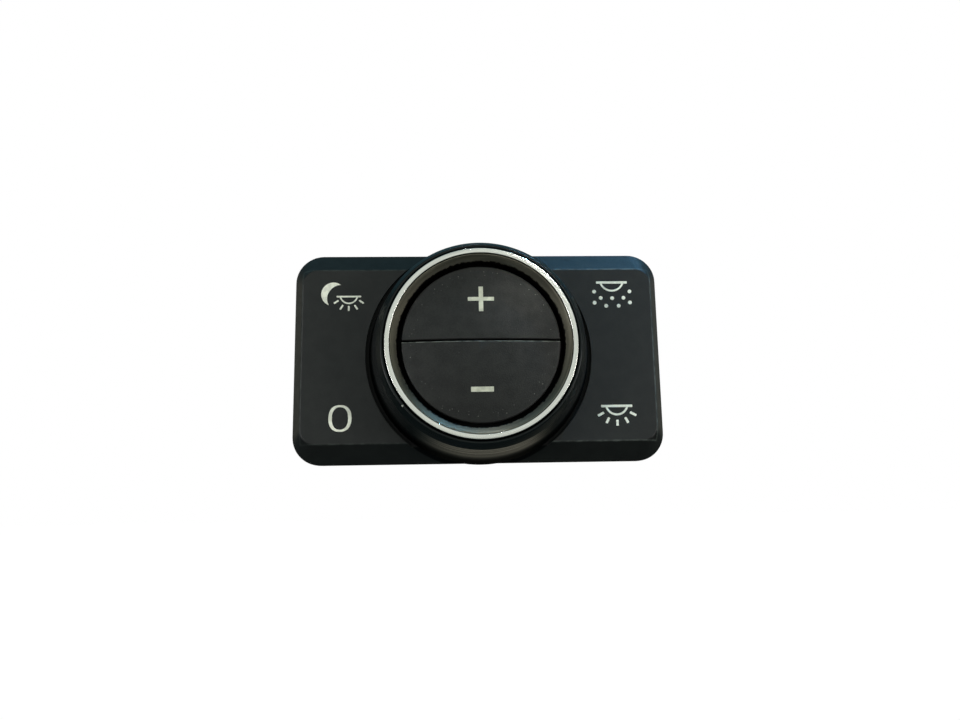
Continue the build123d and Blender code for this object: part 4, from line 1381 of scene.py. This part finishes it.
@dataclass
class Faceplate:
    """The bevelled plate with the marks of the four stations."""

    face_level: float = 5.8
    zero_centre: Spot = (-31.4, -14.27)
    zero_half: Spot = (2.58, 3.0)
    zero_stroke: Spot = (0.78, 0.48)
    zero_squareness: float = 2.35
    moon_centre: Spot = (-33.31, 14.37)
    moon_radius: float = 2.78
    moon_bite_centre: Spot = (-31.46, 13.32)
    moon_bite_radius: float = 3.25
    moon_steps: int = 36
    night_lamp: LampMark = field(
        default_factory=lambda: LampMark(
            centre=(-29.75, 13.79),
            bar_half=2.82,
            bar_width=0.4,
            bowl_half=2.1,
            bowl_depth=1.78,
            bowl_width=0.36,
            ray_width=0.42,
            rays=(
                ((2.35, -0.9), (3.42, -1.62)),
                ((1.31, -1.98), (2.0, -3.04)),
                ((0.0, -2.2), (0.0, -3.38)),
            ),
        )
    )
    reading_lamp: LampMark = field(
        default_factory=lambda: LampMark(
            centre=(31.3, 16.8),
            bar_half=3.62,
            bar_width=0.56,
            bowl_half=2.8,
            bowl_depth=2.2,
            bowl_width=0.44,
            drops=((4.15, -2.18), (0.0, -3.79), (2.67, -3.7), (4.15, -4.83), (1.47, -5.6)),
        )
    )
    bright_lamp: LampMark = field(
        default_factory=lambda: LampMark(
            centre=(31.2, -12.22),
            bar_half=3.58,
            bar_width=0.56,
            bowl_half=2.6,
            bowl_depth=2.17,
            bowl_width=0.46,
            ray_width=0.56,
            rays=(
                ((2.98, -1.46), (4.38, -2.2)),
                ((1.82, -2.6), (2.5, -3.88)),
                ((0.0, -3.15), (0.0, -4.5)),
            ),
        )
    )

    def level(self, x: float, z: float) -> float:
        """Return the level of the plate's face, which is flat."""
        return self.face_level

    def oval(self, reach_x: float, reach_z: float, steps: int = 72) -> list[Spot]:
        """Work out an oval round the zero's middle, with fuller corners than an ellipse.

        Args:
            reach_x: Half of its width.
            reach_z: Half of its height.
            steps: Number of spots.

        Returns:
            The spots, counter-clockwise from the right.
        """
        power = 2 / self.zero_squareness
        spots = []
        for step in range(steps):
            angle = 2 * math.pi * step / steps
            cos, sin = math.cos(angle), math.sin(angle)
            x = math.copysign(abs(cos) ** power, cos) * reach_x
            z = math.copysign(abs(sin) ** power, sin) * reach_z
            spots.append((self.zero_centre[0] + x, self.zero_centre[1] + z))
        return spots

    def zero(self) -> bpy.types.Object:
        """Build the figure zero.

        Returns:
            The mark as a piece.
        """
        half_x, half_z = self.zero_half
        side, end = self.zero_stroke
        inlay = Inlay(self.level)
        inlay.ribbon(self.oval(half_x, half_z), self.oval(half_x - side, half_z - end), closed=True)
        return inlay.finish("mark_zero")

    def moon(self) -> bpy.types.Object:
        """Build the crescent moon with its small lamp.

        Returns:
            Both marks as one piece.
        """
        bite = Vector(self.moon_bite_centre) - Vector(self.moon_centre)
        along = math.degrees(math.atan2(bite.y, bite.x))
        outer_half = meeting_angle(self.moon_radius, self.moon_bite_radius, bite.length)
        inner_half = meeting_angle(self.moon_bite_radius, self.moon_radius, bite.length)
        start, end = along + outer_half, along + 360 - outer_half
        outer = arc(self.moon_centre, self.moon_radius, start, end, self.moon_steps)
        start, end = along + 180 - inner_half, along + 180 + inner_half
        inner = arc(self.moon_bite_centre, self.moon_bite_radius, start, end, self.moon_steps)
        inlay = Inlay(self.level)
        inlay.ribbon(outer, inner)
        self.night_lamp.draw(inlay)
        return inlay.finish("mark_moon_and_lamp")

    def lamp(self, mark: LampMark, name: str) -> bpy.types.Object:
        """Build one of the two larger lamps.

        Args:
            mark: Its shapes.
            name: The piece's name.

        Returns:
            The mark as a piece.
        """
        inlay = Inlay(self.level)
        mark.draw(inlay)
        return inlay.finish(name)

    def build(self, wardrobe: Wardrobe) -> None:
        """Dress the plate and lay its marks on it.

        Args:
            wardrobe: The finishes and the CAD nodes.
        """
        wardrobe.dress_node("faceplate", "plate_black")
        marks = (
            self.zero(),
            self.moon(),
            self.lamp(self.reading_lamp, "mark_reading_lamp"),
            self.lamp(self.bright_lamp, "mark_bright_lamp"),
        )
        for mark in marks:
            wardrobe.dress_piece(mark, "pale_ink", Body.HOUSING)


@dataclass
class Knob:
    """The turning knob with its two rings."""

    foot_radius: float = 25.1
    foot_level: float = 5.5
    foot_round: float = 0.3
    rim_radius: float = 22.35
    rim_level: float = 18.6
    rim_round: float = 0.35
    inner_foot_round: float = 0.15
    web_round: float = 0.1
    shoulder_level: float = 20.7
    land_radius: float = 21.25
    land_round: float = 0.3
    mouth_radius: float = 20.74
    mouth_round: float = 0.1
    groove_radius: float = 20.34
    groove_neck: float = 1.2
    trim_floor: float = 18.4
    ring_radius: float = 19.25
    ring_floor: float = 15.3
    gap_radius: float = 17.77
    web_radius: float = 20.64
    web_level: float = 13.65
    shell_wall: float = 1.6
    line_levels: tuple[float, ...] = (17.7, 16.6, 15.0)
    line_depth: float = 0.02
    line_width: float = 0.24
    trim_round: float = 0.1
    trim_crest: float = 21.2
    trim_outer: float = 20.32
    lip_level: float = 19.3
    lip_round: float = 0.12
    ring_edge: float = 20.95
    ring_round: float = 0.1
    ring_fit: float = 0.05
    pointer_radius: float = 0.22
    pointer_place: float = 21.16
    pointer_rest: float = 218.6
    pointer_length: float = 2.8

    def flank_radius(self, level: float) -> float:
        """Return the outer radius of the tapered flank at a level."""
        share = (level - self.foot_level) / (self.rim_level - self.foot_level)
        return self.foot_radius + (self.rim_radius - self.foot_radius) * share

    def shell(self) -> bpy.types.Object:
        """Build the knob's turned shell, with fine lines under its rim.

        Returns:
            The shell as a piece.
        """
        inner_foot = self.foot_radius - self.shell_wall
        inner_web = self.flank_radius(self.web_level) - self.shell_wall
        corners: list[Corner] = [
            (self.web_radius, self.web_level, self.web_round),
            (inner_web, self.web_level, self.web_round),
            (inner_foot, self.foot_level, self.inner_foot_round),
            (self.foot_radius, self.foot_level, self.foot_round),
        ]
        for level in reversed(self.line_levels):
            low, high = level - self.line_width / 2, level + self.line_width / 2
            corners.append((self.flank_radius(low), low, 0.0))
            corners.append((self.flank_radius(level) - self.line_depth, level, 0.0))
            corners.append((self.flank_radius(high), high, 0.0))
        corners += [
            (self.rim_radius, self.rim_level, self.rim_round),
            (self.land_radius, self.shoulder_level, self.land_round),
            (self.mouth_radius, self.shoulder_level, self.mouth_round),
            (self.groove_radius, self.trim_floor + self.groove_neck, 0.0),
            (self.groove_radius, self.trim_floor, 0.0),
            (self.ring_radius, self.trim_floor, 0.0),
            (self.ring_radius, self.ring_floor, 0.0),
            (self.web_radius, self.ring_floor, 0.0),
        ]
        return turned("knob_shell", round_corners(corners))

    def inner_ring(self) -> bpy.types.Object:
        """Build the satin funnel ring with soft edges.

        Returns:
            The ring as a piece.
        """
        outer = self.ring_radius - self.ring_fit
        corners = [
            (self.gap_radius, self.lip_level, self.lip_round),
            (self.gap_radius, self.ring_floor, 0.0),
            (outer, self.ring_floor, 0.0),
            (outer, self.ring_edge, self.ring_round),
        ]
        return turned("funnel_ring", round_corners(corners, 4))

    def pointer(self) -> bpy.types.Object:
        """Build the light window that points at the stations.

        Returns:
            The window as a piece.
        """
        inlay = Inlay(lambda x, z: self.shoulder_level, depth=self.pointer_length)
        inlay.dot(polar(self.pointer_place, self.pointer_rest), self.pointer_radius)
        return inlay.finish("pointer_dot")

    def build(self, wardrobe: Wardrobe) -> None:
        """Build the knob's pieces and dress them.

        Args:
            wardrobe: The finishes and the CAD nodes.
        """
        wardrobe.dress_piece(self.shell(), "knob_black", Body.KNOB, ("knob",))
        wardrobe.dress_node("knob_sleeve", "sleeve_black")
        trim_inner = self.ring_radius + self.ring_fit
        trim = round_ring_tree().grow(
            "trim_ring_bright",
            wardrobe.materials["bright_chrome"],
            Radius=(self.trim_outer + trim_inner) / 2,
            Width=self.trim_outer - trim_inner,
            Height=self.trim_crest - self.trim_floor,
            Round=self.trim_round,
            Level=self.trim_floor,
        )
        wardrobe.dress_piece(trim, "bright_chrome", Body.KNOB, ("trim_ring",))
        wardrobe.dress_piece(self.inner_ring(), "satin_bronze", Body.KNOB, ("inner_ring",))
        wardrobe.dress_piece(self.pointer(), "pointer_grey", Body.KNOB, ("pointer_window",))
        wardrobe.dress_node("detent_ring", "natural_acetal")
        wardrobe.dress_node("friction_washer", "natural_acetal")
        wardrobe.dress_node("position_magnet", "magnet_grey")


@dataclass
class DimmerButtons:
    """The two halves of the domed disc, with a plus and a minus."""

    radius: float = 16.9
    edge_level: float = 19.0
    crest_level: float = 20.3
    plus_centre: Spot = (0.04, 9.5)
    plus_half: Spot = (2.78, 2.74)
    plus_width: Spot = (0.84, 0.94)
    minus_centre: Spot = (0.05, -9.84)
    minus_half: float = 2.4
    minus_width: float = 1.06
    mark_soft: float = 0.08
    joint_soft: float = 0.02
    long_parts: int = 8
    short_parts: int = 4

    def dome(self, x: float, z: float) -> float:
        """Work out the level of the shallow dome.

        Args:
            x: Place to the right of the knob's axis.
            z: Place above it.

        Returns:
            The dome's level there.
        """
        rise = self.crest_level - self.edge_level
        ball = (self.radius**2 + rise**2) / (2 * rise)
        return self.crest_level - ball + math.sqrt(ball**2 - x**2 - z**2)

    def plus(self) -> bpy.types.Object:
        """Build the plus from a long bar and two short ones.

        Returns:
            The plus as a piece.
        """
        x, z = self.plus_centre
        half_x, half_z = self.plus_half
        width_x, width_z = self.plus_width
        inlay = Inlay(self.dome)
        inlay.bar((x - half_x, z), (x + half_x, z), width_x, self.long_parts, self.mark_soft)
        for side in (1, -1):
            start, end = (x, z + side * width_x / 2), (x, z + side * half_z)
            inlay.bar(start, end, width_z, self.short_parts, self.joint_soft)
        return inlay.finish("mark_plus")

    def minus(self) -> bpy.types.Object:
        """Build the minus.

        Returns:
            The minus as a piece.
        """
        x, z = self.minus_centre
        start, end = (x - self.minus_half, z), (x + self.minus_half, z)
        inlay = Inlay(self.dome)
        inlay.bar(start, end, self.minus_width, self.long_parts, self.mark_soft)
        return inlay.finish("mark_minus")

    def build(self, wardrobe: Wardrobe) -> None:
        """Dress both buttons and lay their marks on them.

        Args:
            wardrobe: The finishes and the CAD nodes.
        """
        wardrobe.dress_node("plus_button", "button_black")
        wardrobe.dress_node("minus_button", "button_black")
        # The buttons' marks take the darker copy of the pale ink, which is painted shade.
        wardrobe.dress_piece(self.plus(), "pale_ink_shaded", Body.PLUS)
        wardrobe.dress_piece(self.minus(), "pale_ink_shaded", Body.MINUS)
        wardrobe.dress_node("plus_plunger", "natural_acetal")
        wardrobe.dress_node("minus_plunger", "natural_acetal")
        wardrobe.dress_node("centre_hub", "housing_black")


@dataclass
class BackAndInside:
    """The rear housing with its clips and connector, and the pieces inside."""

    pin_side: float = 0.64
    pin_pitch_x: float = 4.0
    pin_pitch_z: float = 2.8
    pin_columns: int = 4
    pin_rows: int = 2
    pin_tip: float = 0.7
    finishes: dict[str, str] = field(
        default_factory=lambda: {
            "rear_housing": "housing_black",
            "left_panel_clip": "spring_steel",
            "right_panel_clip": "spring_steel",
            "circuit_board": "board_green",
            "symbol_leds": "lamp_resin",
            "button_led": "lamp_resin",
            "button_light_rod": "clear_guide",
            "left_light_guide": "clear_guide",
            "right_light_guide": "clear_guide",
            "plus_switch": "chip_resin",
            "minus_switch": "chip_resin",
            "hall_sensors": "chip_resin",
            "controller_chip": "chip_resin",
            "capacitors": "can_aluminium",
            "resistors": "chip_resin",
            "connector_header": "housing_black",
            "hub_screws": "spring_steel",
            "board_screws": "spring_steel",
            "left_detent_spring": "spring_steel",
            "right_detent_spring": "spring_steel",
        }
    )

    def build(self, wardrobe: Wardrobe) -> None:
        """Dress the CAD nodes and make the connector's pins.

        Args:
            wardrobe: The finishes and the CAD nodes.
        """
        for node, finish in self.finishes.items():
            wardrobe.dress_node(node, finish)
        low, high = (Vector(corner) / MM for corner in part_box("connector_pins"))
        pins = pin_field_tree().grow(
            "connector_pins_tapered",
            wardrobe.materials["tinned_pins"],
            Columns=self.pin_columns,
            Rows=self.pin_rows,
            Pitch_X=self.pin_pitch_x,
            Pitch_Z=self.pin_pitch_z,
            Side=self.pin_side,
            Length=high.y - low.y,
            Tip=self.pin_tip,
            Front_Level=-low.y,
            Height=(low.z + high.z) / 2,
        )
        wardrobe.dress_piece(pins, "tinned_pins", Body.HOUSING, ("connector_pins",))


# The studio


@dataclass(frozen=True)
class Softbox:
    """A square area light, placed in metres, with a grid where its spread in degrees is narrow."""

    name: str
    spot: Corner
    side: float
    power: float
    colour: Colour = (1.0, 1.0, 1.0)
    spread: float = 180.0
    aim: Corner = (0.0, -0.01, 0.0)

    def hang(self) -> None:
        """Add the light to the scene."""
        lamp = bpy.data.lights.new(self.name, "AREA")
        lamp.shape = "SQUARE"
        lamp.size = self.side
        lamp.energy = self.power
        lamp.color = self.colour
        lamp.spread = math.radians(self.spread)
        holder = bpy.data.objects.new(self.name, lamp)
        holder.location = self.spot
        sight = Vector(self.aim) - Vector(self.spot)
        holder.rotation_euler = sight.to_track_quat("-Z", "Y").to_euler()
        bpy.context.scene.collection.objects.link(holder)


@dataclass
class Studio:
    """Camera, floor, world and lights.

    The camera has degrees and millimetres, and the floor and the lights have metres. A band holds the
    places, or the parts of a direction, where an effect starts and where it is whole.
    """

    azimuth: float = -2.37
    elevation: float = -9.57
    roll: float = -0.95
    distance: float = 171.4
    target: Corner = (0.21, -5.8, -1.31)
    focal_pixels: float = 750.0
    image_width: float = 960.0
    sensor: float = 36.0
    clip: Spot = (0.005, 20.0)
    white: Colour = (1.0, 1.0, 1.0)
    floor_drop: float = 0.16
    floor_half: float = 3.0
    floor_tones: tuple[Colour, Colour] = ((0.17, 0.17, 0.165), (0.2, 0.2, 0.195))
    floor_scale: float = 60.0
    floor_white: float = 1.06
    floor_cover: float = 0.95
    glow: float = 0.38
    glow_colour: Colour = (1.0, 0.93, 0.7)
    glow_back: Spot = (0.12, 0.2)
    glow_left: Spot = (-0.18, 0.0)
    glow_right: Spot = (0.5, 0.07)
    surround: Colour = (0.026, 0.042, 0.042)
    above: Colour = (0.1, 0.24, 0.3)
    above_band: Spot = (0.35, 0.9)
    front: Colour = (0.54, 0.61, 0.58)
    front_band: Spot = (-0.35, -0.8)
    middle: Colour = (0.8, 0.86, 0.8)
    middle_band: Spot = (-0.88, -0.97)
    behind: Colour = (0.5, 0.49, 0.4)
    behind_band: Spot = (0.2, 0.75)
    low_band: Spot = (0.55, 0.25)
    softboxes: tuple[Softbox, ...] = (
        Softbox("key_left", (-0.6, -0.57, -0.05), 0.3, 0.13, spread=30.0),
        Softbox("key_right", (0.6, -0.57, -0.05), 0.3, 0.13, (1.0, 0.98, 0.93), 30.0),
        Softbox(
            "window_right", (0.1, -0.03, 0.17), 0.05, 0.0068, (0.22, 0.58, 1.0),
            spread=9.0, aim=(0.034, -0.004, 0.024),
        ),
        Softbox(
            "ceiling_strip", (-0.02, -0.06, 0.25), 0.02, 0.00018, (0.9, 0.96, 1.0),
            spread=4.0, aim=(-0.003, -0.0205, -0.0185),
        ),
        Softbox(
            "sheen_right", (0.06, -0.22, 0.11), 0.012, 0.00016, (1.0, 0.99, 0.9),
            spread=6.0, aim=(0.009, -0.02, 0.01),
        ),
    )

    def camera(self) -> None:
        """Set up the camera at the photograph's viewing angle."""
        angles = (self.azimuth, self.elevation, self.roll)
        turn, rise, lean = (math.radians(angle) for angle in angles)
        level_turn = Vector((math.sin(turn), -math.cos(turn), 0.0))
        outward = level_turn * math.cos(rise) + Vector((0.0, 0.0, math.sin(rise)))
        right = (-outward).cross(Vector((0, 0, 1))).normalized()
        upward = right.cross(-outward)
        level_right = math.cos(lean) * right + math.sin(lean) * upward
        level_up = -math.sin(lean) * right + math.cos(lean) * upward
        data = bpy.data.cameras.new("photo_view")
        data.sensor_fit = "HORIZONTAL"
        data.sensor_width = self.sensor
        data.lens = self.focal_pixels / self.image_width * self.sensor
        data.clip_start, data.clip_end = self.clip
        camera = bpy.data.objects.new("photo_view", data)
        spot = (Vector(self.target) + outward * self.distance) * MM
        axes = Matrix((level_right, level_up, outward)).transposed().to_4x4()
        camera.matrix_world = Matrix.Translation(spot) @ axes
        bpy.context.scene.collection.objects.link(camera)
        bpy.context.scene.camera = camera

    @staticmethod
    def seen(book: ShaderBook, rays: bpy.types.Node) -> bpy.types.NodeSocket:
        """Return 1 for what the camera sees, straight or through clear plastic."""
        return book.number("MAXIMUM", rays.outputs["Is Camera Ray"], rays.outputs["Is Transmission Ray"])

    def floor(self) -> None:
        """Lay the pale floor, white to the camera and with a soft glow behind the part."""
        work = bmesh.new()
        reach = self.floor_half
        corners = ((-reach, -reach), (reach, -reach), (reach, reach), (-reach, reach))
        work.faces.new([work.verts.new((x, y, -self.floor_drop)) for x, y in corners])
        floor = piece_from("floor", work)
        material = bpy.data.materials.new("pale_floor")
        book = ShaderBook.on(material)
        coordinates = book.add("ShaderNodeTexCoord", {}).outputs["Object"]
        paper = book.noise(coordinates, self.floor_scale, 3.0)
        plain = book.add("ShaderNodeBsdfDiffuse", {"Color": book.blend(paper, *self.floor_tones)})
        rays = book.add("ShaderNodeLightPath", {})
        seen = self.seen(book, rays)
        colour = book.blend(seen, self.glow_colour, self.white)
        white = book.add("ShaderNodeEmission", {"Color": colour, "Strength": self.floor_white})
        across, back, _ = book.parts(coordinates)
        glow = book.spread(back, *self.glow_back, 0.0, self.glow)
        for fade in (self.glow_left, self.glow_right):
            glow = book.number("MULTIPLY", glow, book.spread(across, *fade))
        mirrored = book.number("MULTIPLY", rays.outputs["Is Glossy Ray"], glow)
        covered = book.number("MULTIPLY", seen, self.floor_cover)
        share = book.number("MAXIMUM", covered, mirrored)
        mixed = book.add("ShaderNodeMixShader", {"Fac": share})
        book.feed(mixed.inputs[1], plain.outputs[0])
        book.feed(mixed.inputs[2], white.outputs[0])
        output = book.add("ShaderNodeOutputMaterial", {})
        book.feed(output.inputs["Surface"], mixed.outputs[0])
        floor.data.materials.append(material)

    def world(self) -> None:
        """Make the backdrop white to the camera and a soft studio to everything else."""
        world = bpy.data.worlds.new("studio")
        book = ShaderBook.on(world)
        _, back, up = book.parts(book.add("ShaderNodeTexCoord", {}).outputs["Generated"])
        low = book.spread(up, *self.low_band)
        zones = (
            (book.spread(up, *self.above_band), self.above),
            (book.spread(back, *self.front_band), self.front),
            (book.spread(back, *self.middle_band), self.middle),
            (book.number("MULTIPLY", low, book.spread(back, *self.behind_band)), self.behind),
            (self.seen(book, book.add("ShaderNodeLightPath", {})), self.white),
        )
        colour: Feed = self.surround
        for share, tone in zones:
            colour = book.blend(share, colour, tone)
        light = book.add("ShaderNodeBackground", {"Color": colour, "Strength": 1.0})
        output = book.add("ShaderNodeOutputWorld", {})
        book.feed(output.inputs["Surface"], light.outputs[0])
        bpy.context.scene.world = world

    def build(self) -> None:
        """Set the whole stage."""
        bpy.context.scene.view_settings.view_transform = "Standard"
        self.camera()
        self.floor()
        self.world()
        for softbox in self.softboxes:
            softbox.hang()


def main() -> None:
    """Build the switch piece by piece."""
    logging.basicConfig(level=logging.INFO, format="%(message)s")
    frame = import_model()
    Studio().build()
    wardrobe = Wardrobe(frame)
    for assembly in (Faceplate(), Knob(), DimmerButtons(), BackAndInside()):
        assembly.build(wardrobe)
    LOG.info("all pieces are built")


if __name__ == "__main__":
    main()
